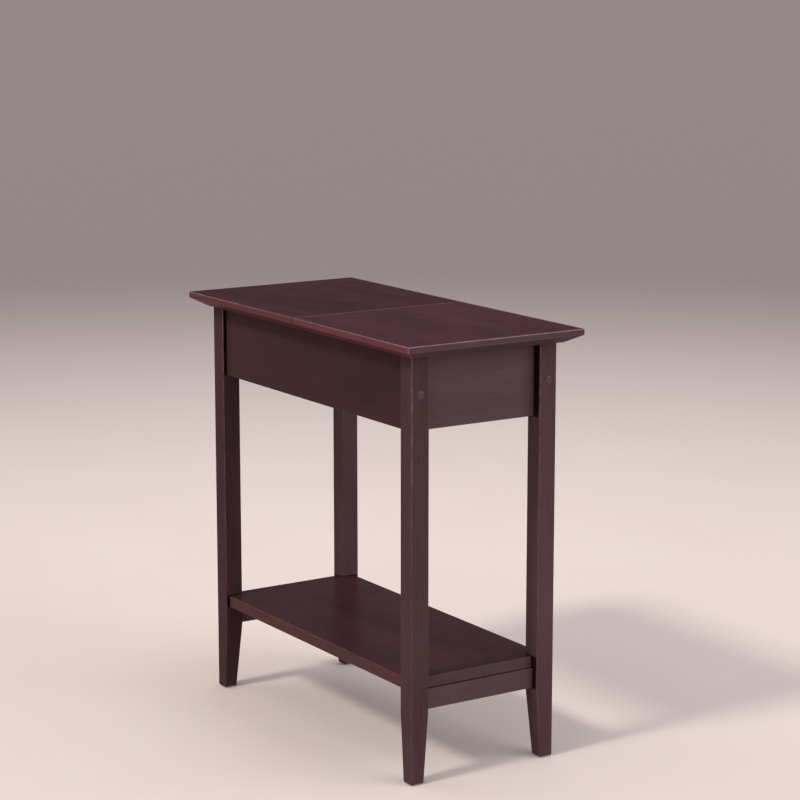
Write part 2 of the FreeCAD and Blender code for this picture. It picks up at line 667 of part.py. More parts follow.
def base_bracket(side):
    """Angle of sheet steel: a shaped web on the side apron, and a foot on the compartment's floor."""
    y = (FOOT_FRONT[0] - BASE_BOSS_R, FOOT_REAR[0] + BASE_BOSS_R)
    front = STOP[0] - BASE_BOSS_R
    height = STOP[1] + BASE_BOSS_R - FLOOR_TOP
    sheet = bent_sheet(side, 0, FLOOR_TOP, 1, height, BASE_FLANGE, (front, y[1]))
    outline = boss_outline([FOOT_FRONT, FOOT_REAR, REAR_BASE, FRONT_BASE, STOP], BASE_BOSS_R)
    web = side_plate(side, outline, 0, BRACKET_T)
    foot = block((inboard(side, 0), inboard(side, BASE_FLANGE)), y, (FLOOR_TOP, FLOOR_TOP + BASE_BOSS_R))
    bracket = tip_rounded(whole(sheet.common(web.fuse(foot))), inboard(side, BASE_FLANGE), BASE_CORNER_R)
    holes = [side_rod(side, PIN_D / 2 + FIT, 0, BRACKET_T, point) for point in (REAR_BASE, FRONT_BASE)]
    holes.append(side_rod(side, STOP_D / 2 + FIT, 0, BRACKET_T, STOP))
    holes.append(Part.makeCylinder(SPRING_WIRE / 2 + SPRING_HOLE, 2 * BRACKET_T,
                                   vec(inboard(side, SPRING_FOOT_U), SPRING_FOOT_Y, FLOOR_TOP), Z_AXIS))
    return drilled(bracket, holes + screw_holes(base_screw_places(side)))


def lid_bracket(side):
    """Angle of sheet steel: a web with the two lid pivots, and a flange under the lid."""
    y = (LID_BRACKET_FRONT, LID_BRACKET_BACK)
    height = LID_UNDER - REAR_LID[1] + LID_BOSS_R
    sheet = bent_sheet(side, INNER_U, LID_UNDER, -1, height, LID_FLANGE, y)
    shoulder = LID_UNDER - LID_BOSS_R
    corners = [FRONT_LID, REAR_LID, (REAR_LID[0], shoulder), (y[0] + LID_BOSS_R, shoulder)]
    outline = boss_outline(corners, LID_BOSS_R)
    web = side_plate(side, outline, INNER_U, LID_WEB_INU)
    flange = block((inboard(side, INNER_U), inboard(side, INNER_U + LID_FLANGE)), y, (shoulder, LID_UNDER))
    bracket = whole(sheet.common(web.fuse(flange)))
    bracket = tip_rounded(bracket, inboard(side, INNER_U + LID_FLANGE), LID_CORNER_R)
    holes = [side_rod(side, PIN_D / 2 + FIT, INNER_U, LID_WEB_INU, point) for point in (REAR_LID, FRONT_LID)]
    return drilled(bracket, holes + screw_holes(lid_screw_places(side)))


def link(side, base, lid, lid_room):
    """Flat steel bar with round ends and a hole for each of its two pins."""
    bar = side_plate(side, bar_outline(base, lid, LINK_W / 2), LINK_U, LINK_INU)
    return drilled(bar, [side_rod(side, PIN_D / 2 + RUN, LINK_U, LINK_INU, base),
                         side_rod(side, PIN_D / 2 + lid_room, LINK_U, LINK_INU, lid)])


def rear_link(side):
    """Link that carries the cross bar and is pushed by the torsion spring's hooked arm."""
    holes = [side_rod(side, BAR_END_D / 2 + FIT, LINK_U, LINK_INU, BAR),
             side_rod(side, SPRING_WIRE / 2 + SPRING_HOLE, LINK_U, LINK_INU, SPRING_HOOK)]
    return drilled(link(side, REAR_BASE, REAR_LID, RUN), holes)


def front_link(side):
    return link(side, FRONT_BASE, FRONT_LID, OPEN_RUN)


def cross_bar():
    """Round bar between the rear links, its ends turned down to go through them."""
    shoulder = SIDE_INX - LINK_INU
    end = SIDE_INX - LINK_U
    return turned([(-end, 0), (-end, BAR_END_D / 2), (-shoulder, BAR_END_D / 2), (-shoulder, BAR_D / 2),
                   (shoulder, BAR_D / 2), (shoulder, BAR_END_D / 2), (end, BAR_END_D / 2), (end, 0)],
                  vec(0, BAR[0], BAR[1]), X_AXIS)


def base_pin(side, point, head):
    """Rivet pin, flush with the back of the base bracket, its head at depth head."""
    shank = PIN_D / 2
    wide = PIN_HEAD_D / 2
    top = head + PIN_HEAD_H
    return turned([(0, 0), (0, shank), (head, shank), (head, wide), (top - PIN_HEAD_EASE, wide),
                   (top, wide - PIN_HEAD_EASE), (top, 0)], side_point(side, 0, point), inward(side))


def lid_pin(side, point):
    """Rivet pin through a link and the lid bracket, headed on both sides."""
    shank = PIN_D / 2
    wide = PIN_HEAD_D / 2
    low = LINK_U - PIN_HEAD_H
    high = LID_WEB_INU + PIN_HEAD_H
    return turned([(low, 0), (low, wide - PIN_HEAD_EASE), (low + PIN_HEAD_EASE, wide), (LINK_U, wide),
                   (LINK_U, shank), (LID_WEB_INU, shank), (LID_WEB_INU, wide), (high - PIN_HEAD_EASE, wide),
                   (high, wide - PIN_HEAD_EASE), (high, 0)], side_point(side, 0, point), inward(side))


def washer(side, u, point):
    disc = side_rod(side, WASHER_D / 2, u, u + WASHER_T, point)
    return whole(disc.cut(side_rod(side, PIN_D / 2 + FIT, u, u + WASHER_T, point)))


def stop_pin(side):
    return side_rod(side, STOP_D / 2, 0, LINK_INU + STOP_PROUD, STOP)


def hooked_wire(start, end, away, reach, bend):
    """Round wire from start to end, where it turns through a right angle and reaches away."""
    along = (end - start).normalize()
    near = end - along * bend
    corner = end + away * bend
    middle = near + away * bend + (along - away) * (bend * math.sqrt(0.5))
    path = Part.Wire([Part.LineSegment(start, near).toShape(), Part.Arc(near, middle, corner).toShape(),
                      Part.LineSegment(corner, end + away * reach).toShape()])
    section = Part.Wire(Part.Circle(start, along, SPRING_WIRE / 2).toShape())
    return path.makePipeShell([section], True, False)


def torsion_spring(side):
    """Close-wound coil on the rear base pin. One end stands in the foot, one hooks the link."""
    wire = SPRING_WIRE / 2
    inner = SPRING_ID / 2
    ridges = [((turn + share) * SPRING_PITCH, SPRING_R + out)
              for turn in range(SPRING_TURNS) for share, out in ((0, 0), (0.5, wire))]
    length = SPRING_TURNS * SPRING_PITCH
    coil = turned([(0, inner)] + ridges + [(length, SPRING_R), (length, inner)],
                  side_point(side, SPRING_U, REAR_BASE), inward(side))
    arm_u = SPRING_U + SPRING_PITCH / 2
    arm_start = side_point(side, arm_u, polar(REAR_BASE, LINK_REST - 90, SPRING_END_R))
    arm_end = side_point(side, arm_u, SPRING_HOOK)
    arm = hooked_wire(arm_start, arm_end, inward(-side), arm_u - LINK_U, SPRING_BEND)
    tail_top = side_point(side, SPRING_FOOT_U, (SPRING_FOOT_Y, REAR_BASE[1]))
    tail = Part.makeCylinder(wire, tail_top.z - FLOOR_TOP, tail_top, -Z_AXIS)
    return whole(coil.fuse([arm, tail]))


# ---- Nodes -------------------------------------------------------------------------------
def group(solids):
    return Part.makeCompound(solids)


def wooden_nodes():
    nodes = {}
    for end_name, end in ENDS.items():
        for side_name, side in SIDES.items():
            nodes[f"leg_{end_name}_{side_name}"] = leg(side, end)
        nodes[f"apron_{end_name}"] = end_apron(end)
        nodes[f"stretcher_{end_name}"] = stretcher(end)
    for side_name, side in SIDES.items():
        nodes[f"apron_{side_name}"] = side_apron(side)
        nodes[f"top_cleat_{side_name}"] = top_cleat(side)
    nodes["centre_rail"] = centre_rail()
    nodes["compartment_floor"] = compartment_floor()
    nodes["shelf"] = shelf()
    nodes["fixed_top"] = fixed_top()
    nodes["lid_panel"] = lid_panel()
    return nodes


def joinery_nodes():
    corners = [(side, end) for side in (LEFT, RIGHT) for end in (FRONT, BACK)]
    sides = (LEFT, RIGHT)
    return {
        "leg_bolts": group([bolt(side, end) for side, end in corners]),
        "barrel_nuts": group([barrel_nut(side, end) for side, end in corners]),
        "bolt_caps": group([bolt_cap(side, end) for side, end in corners]),
        "foot_glides": group([glide(side, end) for side, end in corners]),
        "frame_dowels": group([dowel(place, way, DOWEL_L) for place, way in frame_dowel_places()]),
        "rail_dowels": group([dowel(place, way, DOWEL_L) for place, way in rail_dowel_places()]),
        "shelf_screws": group(screws(shelf_screw_places())),
        "cleat_screws": group(screws([place for side in sides for place in cleat_screw_places(side)])),
        "top_screws": group(screws([place for side in sides for place in top_screw_places(side)])),
        "base_bracket_screws": group(screws([place for side in sides for place in base_screw_places(side)])),
        "lid_bracket_screws": group(screws([place for side in sides for place in lid_screw_places(side)])),
        "lid_bumpers": group([bumper(place) for place in bumper_places()]),
    }


def lift_nodes():
    nodes = {"cross_bar": cross_bar()}
    for name, side in SIDES.items():
        nodes[f"base_bracket_{name}"] = base_bracket(side)
        nodes[f"rear_link_{name}"] = rear_link(side)
        nodes[f"front_link_{name}"] = front_link(side)
        nodes[f"lid_bracket_{name}"] = lid_bracket(side)
        nodes[f"torsion_spring_{name}"] = torsion_spring(side)
    sides = (LEFT, RIGHT)
    base = (REAR_BASE, FRONT_BASE)
    lid = (REAR_LID, FRONT_LID)
    nodes["rear_base_pins"] = group([base_pin(side, REAR_BASE, SPRING_INU + SPRING_PLAY) for side in sides])
    nodes["front_base_pins"] = group([base_pin(side, FRONT_BASE, INNER_U) for side in sides])
    nodes["lid_pins"] = group([lid_pin(side, point) for side in sides for point in lid])
    nodes["base_washers"] = group([washer(side, u, point) for side in sides for point in base
                                   for u in (BRACKET_T, LINK_INU)])
    nodes["lid_washers"] = group([washer(side, LINK_INU, point) for side in sides for point in lid])
    nodes["stop_pins"] = group([stop_pin(side) for side in sides])
    return nodes


def main():
    os.makedirs("parts", exist_ok=True)
    nodes = {**wooden_nodes(), **joinery_nodes(), **lift_nodes()}
    for name, shape in nodes.items():
        shape.exportStep(f"parts/{name}.step")
        print(f"{name}: {len(shape.Solids)} solids, {shape.Volume / 1000:.2f} cm3, valid {shape.isValid()}")
    print(f"{len(nodes)} nodes")


main()
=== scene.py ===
# %% [markdown]
# # A lift top end table
#
# The table stands on four square legs. Side boards called aprons tie the legs together and hide a
# shallow compartment. The top is in two halves: the rear half is screwed down, and the front half
# is a lid that swings up and forward on steel links and stays level.
#
# The joinery model is loaded first, as a frame of plain solids. This
# script gives every part of it the shape and the finish that the eye sees.

# %% Load the frame
import json
import math

import bmesh
import bpy
import numpy as np
from mathutils import Euler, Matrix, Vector


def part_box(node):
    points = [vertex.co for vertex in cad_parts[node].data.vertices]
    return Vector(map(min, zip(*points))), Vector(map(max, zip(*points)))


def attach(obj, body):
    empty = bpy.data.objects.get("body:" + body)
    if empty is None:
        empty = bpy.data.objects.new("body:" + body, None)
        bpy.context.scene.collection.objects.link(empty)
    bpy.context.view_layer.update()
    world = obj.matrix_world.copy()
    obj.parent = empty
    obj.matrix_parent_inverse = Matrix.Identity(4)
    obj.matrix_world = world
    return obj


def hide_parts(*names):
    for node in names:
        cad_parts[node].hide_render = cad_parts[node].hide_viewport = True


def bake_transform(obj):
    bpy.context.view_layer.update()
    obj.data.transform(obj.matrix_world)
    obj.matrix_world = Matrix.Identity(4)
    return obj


MM = 0.001
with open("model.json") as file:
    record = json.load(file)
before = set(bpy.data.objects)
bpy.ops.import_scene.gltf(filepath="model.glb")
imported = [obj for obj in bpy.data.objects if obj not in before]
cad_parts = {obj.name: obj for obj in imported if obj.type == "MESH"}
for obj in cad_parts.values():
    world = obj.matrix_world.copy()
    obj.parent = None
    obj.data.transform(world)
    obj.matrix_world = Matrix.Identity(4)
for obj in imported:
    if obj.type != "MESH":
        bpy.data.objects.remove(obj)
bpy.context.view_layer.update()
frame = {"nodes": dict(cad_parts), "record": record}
bodies = frame["record"]["behaviour"]["bodies"]
BODY_OF = {node: body for body, nodes in bodies.items() for node in nodes}


def box(node):
    """Lowest and highest corner of one part of the frame, in millimetres."""
    return [np.array(corner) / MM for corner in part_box(node)]


def middle(node):
    """Middle of one part's box. Parts that come in pairs, left and right, have it between them."""
    return sum(box(node)) / 2


# %% [markdown]
# ## Camera
#
# A tall narrow table is best seen from a little above its top, from the front left corner. A long
# lens from some three and a half metres keeps its upright edges nearly parallel, as the eye does.

# %% Camera
CAMERA_AT = (-1.8218, -2.8833, 1.1304)
LOOK_DOWN, HEADING = 10.829, -32.836    # degrees below level, and degrees turned from +Y
LENS, SENSOR = 108.78, 36.0             # mm


def add_object(name, data):
    """Puts a new object into the scene."""
    thing = bpy.data.objects.new(name, data)
    bpy.context.scene.collection.objects.link(thing)
    return thing


camera = add_object("camera", bpy.data.cameras.new("camera"))
camera.data.sensor_width = SENSOR
camera.data.lens = LENS
camera.location = CAMERA_AT
camera.rotation_euler = (math.radians(90 - LOOK_DOWN), 0, math.radians(HEADING))
bpy.context.scene.camera = camera
print("camera stands", round(camera.location.length, 2), "m from the table's foot")

# %% [markdown]
# ## Shader arithmetic
#
# A procedural finish is a formula. Node trees hide formulas in boxes and wires, so a small class
# wraps one output socket: `a * 2 + b` then adds the Math nodes, and `node()` adds any other kind.

# %% Shader arithmetic
def operator(operation, reflected=False):
    """A method that adds one Math node, with the Signal in second place if it is reflected."""
    def method(self, other):
        first, second = (other, self) if reflected else (self, other)
        return self.node("ShaderNodeMath", {0: first, 1: second}, operation=operation)
    return method


class Signal:
    """One output socket. Arithmetic on it adds Math nodes to its tree."""

    def __init__(self, socket):
        self.socket = socket
        self.tree = socket.id_data

    def node(self, kind, inputs=None, output=0, **settings):
        """Adds a node: its settings first, then its inputs, each a number, a tuple or a Signal."""
        return add_node(self.tree, kind, inputs, output, **settings)

    def math(self, operation, other=0.0):
        return self.node("ShaderNodeMath", {0: self, 1: other}, operation=operation)

    def step(self, low, high):
        """0 below low, 1 above high, and a smooth rise between them."""
        return self.node("ShaderNodeMapRange", {"Value": self, "From Min": low, "From Max": high},
                         interpolation_type="SMOOTHSTEP")

    def parts(self):
        """The x, y and z of a vector, as three Signals."""
        return [self.node("ShaderNodeSeparateXYZ", {0: self}, axis) for axis in "XYZ"]

    __add__, __radd__ = operator("ADD"), operator("ADD", True)
    __sub__, __rsub__ = operator("SUBTRACT"), operator("SUBTRACT", True)
    __mul__, __rmul__ = operator("MULTIPLY"), operator("MULTIPLY", True)
    __truediv__, __rtruediv__ = operator("DIVIDE"), operator("DIVIDE", True)
    __pow__, __rpow__ = operator("POWER"), operator("POWER", True)


def pick(sockets, key):
    """A socket by its number, its identifier or its name."""
    by_id = {socket.identifier: socket for socket in sockets}
    return sockets[key] if isinstance(key, int) else by_id.get(key) or sockets[key]


def add_node(tree, kind, inputs=None, output=0, **settings):
    """Adds one node, and returns one of its outputs as a Signal."""
    node = tree.nodes.new(kind)
    for name, value in settings.items():
        setattr(node, name, value)
    for key, value in (inputs or {}).items():
        socket = pick(node.inputs, key)
        if isinstance(value, Signal):
            tree.links.new(value.socket, socket)
        else:
            socket.default_value = value
    return Signal(pick(node.outputs, output))


def mix_colours(share, a, b):
    """Colour a where share is 0, colour b where it is 1."""
    return share.node("ShaderNodeMix", {"Factor_Float": share, "A_Color": a, "B_Color": b}, "Result_Color",
                      data_type="RGBA")


def noise(vector, scale, detail=2.0, rough=0.5):
    """Cloudy noise from 0 to 1, with a given number of clouds to the metre."""
    return vector.node("ShaderNodeTexNoise",
                       {"Vector": vector, "Scale": scale, "Detail": detail, "Roughness": rough}, "Fac")


def linear(colour, share=1.0):
    """A share of the light of a colour, which is written as the eye reads it, 0 to 255 a channel."""
    channels = [value / 255 for value in colour]
    light = [c / 12.92 if c < 0.04045 else ((c + 0.055) / 1.055) ** 2.4 for c in channels]
    return tuple(c * share for c in light) + (1.0,)


print("a mid grey of 128 is", round(linear([128])[0], 3), "in linear light")


def new_material(name, slot=None, **plain):
    """Material with a Principled shader. The named values are set on the shader's own sockets."""
    material = bpy.data.materials.new(name)
    material.use_nodes = True
    shader = material.node_tree.nodes["Principled BSDF"]
    for key, value in plain.items():
        shader.inputs[key.replace("_", " ")].default_value = value
    return material, shader, add_node(material.node_tree, "ShaderNodeTexCoord", output="Object")


def plug(signal, shader, name):
    """Leads a Signal into one of the shader's inputs."""
    signal.tree.links.new(signal.socket, shader.inputs[name])


def dents(height, depth, strength):
    """Normal of a surface whose height runs from 0 to 1 over a depth in metres."""
    return height.node("ShaderNodeBump", {"Height": height, "Distance": depth, "Strength": strength})


def attribute(signal, name):
    """A number that the mesh carries at each point, or 0 if it carries none."""
    return signal.node("ShaderNodeAttribute", None, "Fac", attribute_type="GEOMETRY", attribute_name=name)


# %% [markdown]
# ## The espresso stain
#
# The finish is a dark brown-red stain under satin lacquer. Stain sits unevenly: soft blotches
# drift along the board, late wood takes less of it, and pores hold it as short dark lines. Arrises
# are painted lighter and warmer: partly where sanding cuts through the stain, partly a painted
# highlight where a round arris catches the light, strongest near the top of a leg. The long edges
# of the top and the shelf are painted redder and their ends greyer, as painted warm light from the
# left and cool light from the front. In the corner between a board and a leg the wood is painted
# nearly black, as painted shade. One leg is a little paler than the next, set to copy how much
# light falls on each: painted light and shade.
#
# A flat picture of grain wrapped round a board gets the end grain wrong. Here the pattern is solid:
# every point of space has a distance from the middle of an imaginary trunk, and that distance, a
# little disturbed, gives the growth rings. Any board cut from it has the right faces and ends.

# %% Stained wood
TURN_TO = {"x": (0.0, -90.0, 0.0), "y": (90.0, 0.0, 0.0), "z": (0.0, 0.0, 0.0)}
SAWN_OFF = (0.9, 1.3, 0.0)      # degrees between a board's length and its fibres
# Tints for arrises, painted lighter for rubbing and a painted highlight (paler on the tops), and a near-black
# for painted shade in corners between parts.
WEAR_AND_HIGHLIGHT_TINT, TOP_WEAR_AND_HIGHLIGHT_TINT, PAINTED_SHADE_COLOUR = (124, 90, 92), (160, 124, 132), (16, 7, 9)


def stained_wood(name, slot, grain, heart, dark, light, wear_and_highlight_tint=WEAR_AND_HIGHLIGHT_TINT, lip=None, end=None, shade_colour=None,
                 streaks=0.3, pores=0.2, wear_and_highlight_share=(0.08, 0.35), rough=0.5, gloss=0.02, ring=3.4):
    """Solid wood. grain is the axis of its fibres, heart a point in the middle of its trunk, in metres.

    Rings: the fraction of (distance from the heart + drift) / ring width, raised to a power.
    Stain: blotches + fibres − rings + paler choose between the dark and the light colour, then pores
    darken. paler is set per leg to copy how light falls on it, as painted light. The mesh says, each
    from 0 to 1, where the lip and the ends are, which carry painted warm and cool light, where arrises
    carry rubbing and a painted highlight, and where corners carry painted shade.
    """
    material, shader, place = new_material(name, slot, Specular_IOR_Level=gloss)
    angles = tuple(math.radians(a + b) for a, b in zip(TURN_TO[grain], SAWN_OFF))
    shift = tuple(-(Euler(angles).to_matrix() @ Vector(heart)))
    grown = place.node("ShaderNodeMapping", {"Vector": place, "Location": shift, "Rotation": angles})
    across, deep, along = grown.parts()

    def drawn_out(share):
        """The same place with the length of the board squeezed, so that a cloud becomes a streak."""
        return grown.node("ShaderNodeCombineXYZ", {"X": across, "Y": deep, "Z": along * share})

    drift = noise(drawn_out(0.12), 11.0) - 0.5
    reach = (across * across + deep * deep).math("SQRT")
    growth = (reach + drift * 0.012) / (ring * MM)
    late = growth.math("FRACT") ** 3.0
    blotch = noise(drawn_out(0.3), 13.0, 3.0) - 0.5
    fibre = noise(drawn_out(0.02), 420.0, 3.0, 0.6) - 0.5
    pore = noise(drawn_out(0.045), 900.0, 1.0).step(0.60, 0.72)

    tone = blotch * 1.1 + fibre * streaks - late * 0.1 + attribute(place, "paler") + 0.52
    colour = mix_colours(tone.math("MAXIMUM", 0.0).math("MINIMUM", 1.0), linear(dark), linear(light))
    colour = mix_colours(pore * pores, colour, linear(dark, 0.35))
    # The lip and end tints are painted light: warm on the long edges, cool on the ends.
    for part, tint in (("lip", lip), ("end", end)):
        if tint:
            colour = mix_colours(attribute(place, part) * (fibre * 1.4 + 0.78), colour, linear(tint))
    # Arrises are painted lighter in spots: rubbing, and a painted highlight where a round arris catches the
    # light.
    spots = noise(place, 60.0, 3.0, 0.6).step(0.30, 0.70)
    colour = mix_colours(attribute(place, "wear_and_highlight") * (spots * wear_and_highlight_share[1] + wear_and_highlight_share[0]), colour, linear(wear_and_highlight_tint))
    # Painted shade: a near-black strip where a board meets a leg, and along the foot of the shelf's ends over
    # the stretchers.
    if shade_colour:
        sheltered = attribute(place, "sheltered")
        in_corner = sheltered.step(0.02, 0.10) - sheltered.step(0.55, 0.70)
        colour = mix_colours(in_corner * 0.9, colour, linear(shade_colour))
    plug(colour, shader, "Base Color")
    plug((noise(place, 30.0) - 0.5) * 0.14 + pore * 0.10 + rough, shader, "Roughness")
    relief = fibre * 0.5 - pore * 0.8 - late * 0.25 + noise(place, 260.0, 1.0) * 0.6
    plug(dents(relief, 0.00012, 0.55), shader, "Normal")
    return material


leg_wood = stained_wood("espresso_leg", "leg_wood", "z", (0.04, 0.05, 0.3), (58, 39, 41), (84, 62, 64),
                        shade_colour=PAINTED_SHADE_COLOUR, streaks=0.6, pores=0.22, wear_and_highlight_share=(0.14, 0.42))
side_wood = stained_wood("espresso_side_apron", "apron_wood", "y", (0.02, 0.0, 0.43), (52, 34, 34),
                         (70, 48, 48), streaks=0.2, pores=0.15)
# The end aprons face the front and are painted lighter and greyer than the side aprons: painted light from
# the front on one stain.
end_wood = stained_wood("espresso_end_apron", "apron_wood", "x", (0.0, 0.06, 0.41), (76, 57, 61),
                        (97, 75, 79), streaks=0.25, pores=0.15)
# The tops and the shelf carry a redder lip tint on their long edges and a greyer end tint on their ends:
# painted warm light from the left and cool light from the front.
lid_wood = stained_wood("espresso_lid", "top_wood", "y", (0.03, -0.2, 0.47), (55, 29, 35), (79, 46, 52),
                        TOP_WEAR_AND_HIGHLIGHT_TINT, lip=(102, 60, 66), end=(84, 68, 74), wear_and_highlight_share=(0.5, 0.4), rough=0.45, gloss=0.01)
fixed_wood = stained_wood("espresso_fixed_top", "top_wood", "y", (-0.05, 0.2, 0.45), (49, 25, 30),
                          (70, 38, 44), TOP_WEAR_AND_HIGHLIGHT_TINT, lip=(96, 58, 59), end=(78, 62, 66), wear_and_highlight_share=(0.4, 0.4),
                          rough=0.45, gloss=0.01)
shelf_wood = stained_wood("espresso_shelf", "shelf_wood", "y", (0.05, 0.0, -0.02), (47, 25, 30), (70, 41, 46),
                          lip=(82, 54, 54), end=(80, 63, 65), shade_colour=PAINTED_SHADE_COLOUR, wear_and_highlight_share=(0.15, 0.4), rough=0.3,
                          gloss=0.012)
stretcher_wood = stained_wood("espresso_stretcher", "apron_wood", "x", (0.0, -0.05, 0.02), (70, 52, 54),
                              (90, 71, 73), streaks=0.4)
LACQUERED = [(50, 34, 32), (72, 50, 47), (104, 72, 66)]
inside_wood = stained_wood("espresso_inside", "inside_wood", "y", (0.0, 0.0, 0.4), *LACQUERED, streaks=0.5,
                           pores=0.4, rough=0.6)
rail_wood = stained_wood("espresso_rail", "inside_wood", "x", (0.0, 0.03, 0.5), *LACQUERED, streaks=0.5,
                         pores=0.4, rough=0.6)
beech = stained_wood("bare_beech", "dowel_wood", "x", (0.0, 0.0, 0.0), (176, 140, 100), (208, 174, 132),
                     (222, 196, 158), streaks=0.5, pores=0.5, rough=0.6, ring=1.8)

# %% [markdown]
# ## Metals, plastics and rubber
#
# Brackets and links are sheet steel in black powder coat, which has a fine pebbled skin. Rivets,
# screws and the cross bar are zinc plated, with faint cloudy patches, and the inside of a screw's
# recess is painted dark, as painted shade. Washers and glides are natural nylon, and brown plastic
# caps hide the bolts.

# %% Metals, plastics and rubber
def mottled(name, slot, dark, light, scale, rough, rough_range, skin_scale, skin_depth, edge=None, recess_shade=None,
            **plain):
    """Two close tones in clouds, a roughness that follows finer clouds, and a skin of tiny dents."""
    material, shader, place = new_material(name, slot, **plain)
    colour = mix_colours(noise(place, scale, 3.0, 0.6).step(0.3, 0.7), linear(dark), linear(light))
    if edge:
        spots = noise(place, 700.0).step(0.4, 0.62)
        colour = mix_colours(attribute(place, "wear_and_highlight") * spots * 0.6, colour, linear(edge))
    # Painted shade: the inside of a screw's cross or a nut's slot is painted dark.
    if recess_shade:
        colour = mix_colours(attribute(place, "sheltered") * 0.85, colour, linear(recess_shade))
    plug(colour, shader, "Base Color")
    plug((noise(place, scale * 4) - 0.5) * rough_range + rough, shader, "Roughness")
    plug(dents(noise(place, skin_scale, 2.0, 0.6), skin_depth, 0.6), shader, "Normal")
    return material


powder = mottled("black_powder_coat", "black_steel", (34, 34, 36), (44, 44, 46), 90, 0.46, 0.16, 2600,
                 0.00009, edge=(96, 94, 92))
# The dark inside the screws' recesses is painted shade.
zinc = mottled("zinc_plate", "zinc_steel", (176, 178, 182), (200, 201, 203), 120, 0.42, 0.2, 1500, 0.00003,
               recess_shade=(42, 38, 36), Metallic=0.85)
rivet = mottled("rivet_steel", "pin_steel", (170, 171, 176), (196, 197, 200), 120, 0.36, 0.12, 1500, 0.00002,
                edge=(212, 212, 214), Metallic=0.9)
wire = mottled("spring_wire", "spring_steel", (118, 120, 126), (142, 144, 150), 200, 0.28, 0.2, 2600, 0.00004,
               Metallic=1.0)
nylon = mottled("natural_nylon", "nylon", (222, 216, 200), (232, 228, 216), 150, 0.42, 0.15, 1200, 0.00004)
cap_plastic = mottled("brown_cap_plastic", "cap_plastic", (66, 47, 48), (78, 57, 58), 300, 0.36, 0.12, 2400,
                      0.00004, edge=(116, 92, 92), Specular_IOR_Level=0.3)
rubber = mottled("bumper_rubber", "bumper_rubber", (34, 34, 35), (44, 44, 45), 400, 0.75, 0.15, 1800, 0.00008)

# %% [markdown]
# ## Shapes as grids
#
# A board, a leg, a rivet and a bent bracket have one thing in common. Each is a closed outline
# that changes as it is carried along a line. So one kind of mesh serves them all: rings of points
# joined by quads, with a lid at each end.
#
# Real corners are always a little round, and that is where they catch the light. So the outline's
# corners are arcs. A supporting point just past each end of an arc keeps the smooth shading in the
# arc and the faces flat. Each point also remembers how near it is to the middle of an arc, which
# is where a finish is rubbed through first and where a painted highlight goes.

# %% Rounding the corners of an outline
def unit(vectors):
    """Vectors of length one in the same directions."""
    return vectors / np.linalg.norm(vectors, axis=-1, keepdims=True)


def rounded(corners, radii, arc=4, support=0.4, closed=True):
    """Outline with an arc at each corner, and how near each point is to its arc's middle.

    The line arrives along p and leaves along q, turning by an angle. The arc starts
    radius × tan(angle / 2) before the corner. A share t of it lies radius × sin(t × angle) along p,
    and radius × (1 − cos(t × angle)) towards the inside of the bend.
    """
    c = np.asarray(corners, float)
    middle = c if closed else c[1:-1]
    p = unit(middle - (np.roll(c, 1, 0) if closed else c[:-2]))
    q = unit((np.roll(c, -1, 0) if closed else c[2:]) - middle)
    cosine = (p * q).sum(1, keepdims=True)
    angle = np.arccos(np.clip(cosine, -1, 1))
    inside = (q - p * cosine) / np.sin(angle)
    radius = np.broadcast_to(np.asarray(radii, float), len(middle))[:, None]
    share = np.linspace(0, 1, arc + 1)
    start = middle - p * radius * np.tan(angle / 2)
    bend = (start[:, None] + p[:, None] * (radius * np.sin(angle * share))[..., None]
            + inside[:, None] * (radius * (1 - np.cos(angle * share)))[..., None])
    before, after = bend[:, :1] - p[:, None] * support, bend[:, -1:] + q[:, None] * support
    points = np.hstack([before, bend, after]).reshape(-1, 2)
    near = np.tile(np.hstack([[0], np.sin(np.pi * share), [0]]), len(middle))
    if not closed:
        points, near = np.vstack([c[:1], points, c[-1:]]), np.hstack([[0], near, [0]])
    return points, near


def rectangle(low, high):
    """Corners of a rectangle, anticlockwise from its lowest one."""
    return [(low[0], low[1]), (high[0], low[1]), (high[0], high[1]), (low[0], high[1])]


print("a rounded square has", len(rounded(rectangle((0, 0), (28, 28)), 1.5)[0]), "points")

# %% From rings to a closed mesh
def layer(line, z):
    """A flat outline laid at a height, as one ring."""
    return np.column_stack([line, np.full(len(line), z)])


def shell(rings, wear_and_highlight=0.0, hollow=False):
    """Rings, as rows × around × xyz, joined by quads. Lids close the ends, or a hollow's rows meet."""
    rings = np.asarray(rings)
    rows, around = rings.shape[:2]
    index = np.arange(rows * around).reshape(rows, around)
    lower, upper = (index, np.roll(index, -1, 0)) if hollow else (index[:-1], index[1:])
    quads = np.stack([lower, np.roll(lower, -1, 1), np.roll(upper, -1, 1), upper], -1).reshape(-1, 4)
    lids = [] if hollow else [index[0][::-1], index[-1]]
    wear_and_highlight = np.array(np.broadcast_to(wear_and_highlight, (rows, around)), float)
    if not hollow:
        wear_and_highlight[[0, -1]] = 0
    return rings.reshape(-1, 3), quads, lids, wear_and_highlight.reshape(-1)


def face_outward(mesh):
    """Turns the faces of every closed shell to look away from its inside."""
    work = bmesh.new()
    work.from_mesh(mesh)
    bmesh.ops.recalc_face_normals(work, faces=work.faces)
    work.to_mesh(mesh)
    work.free()


made = {}


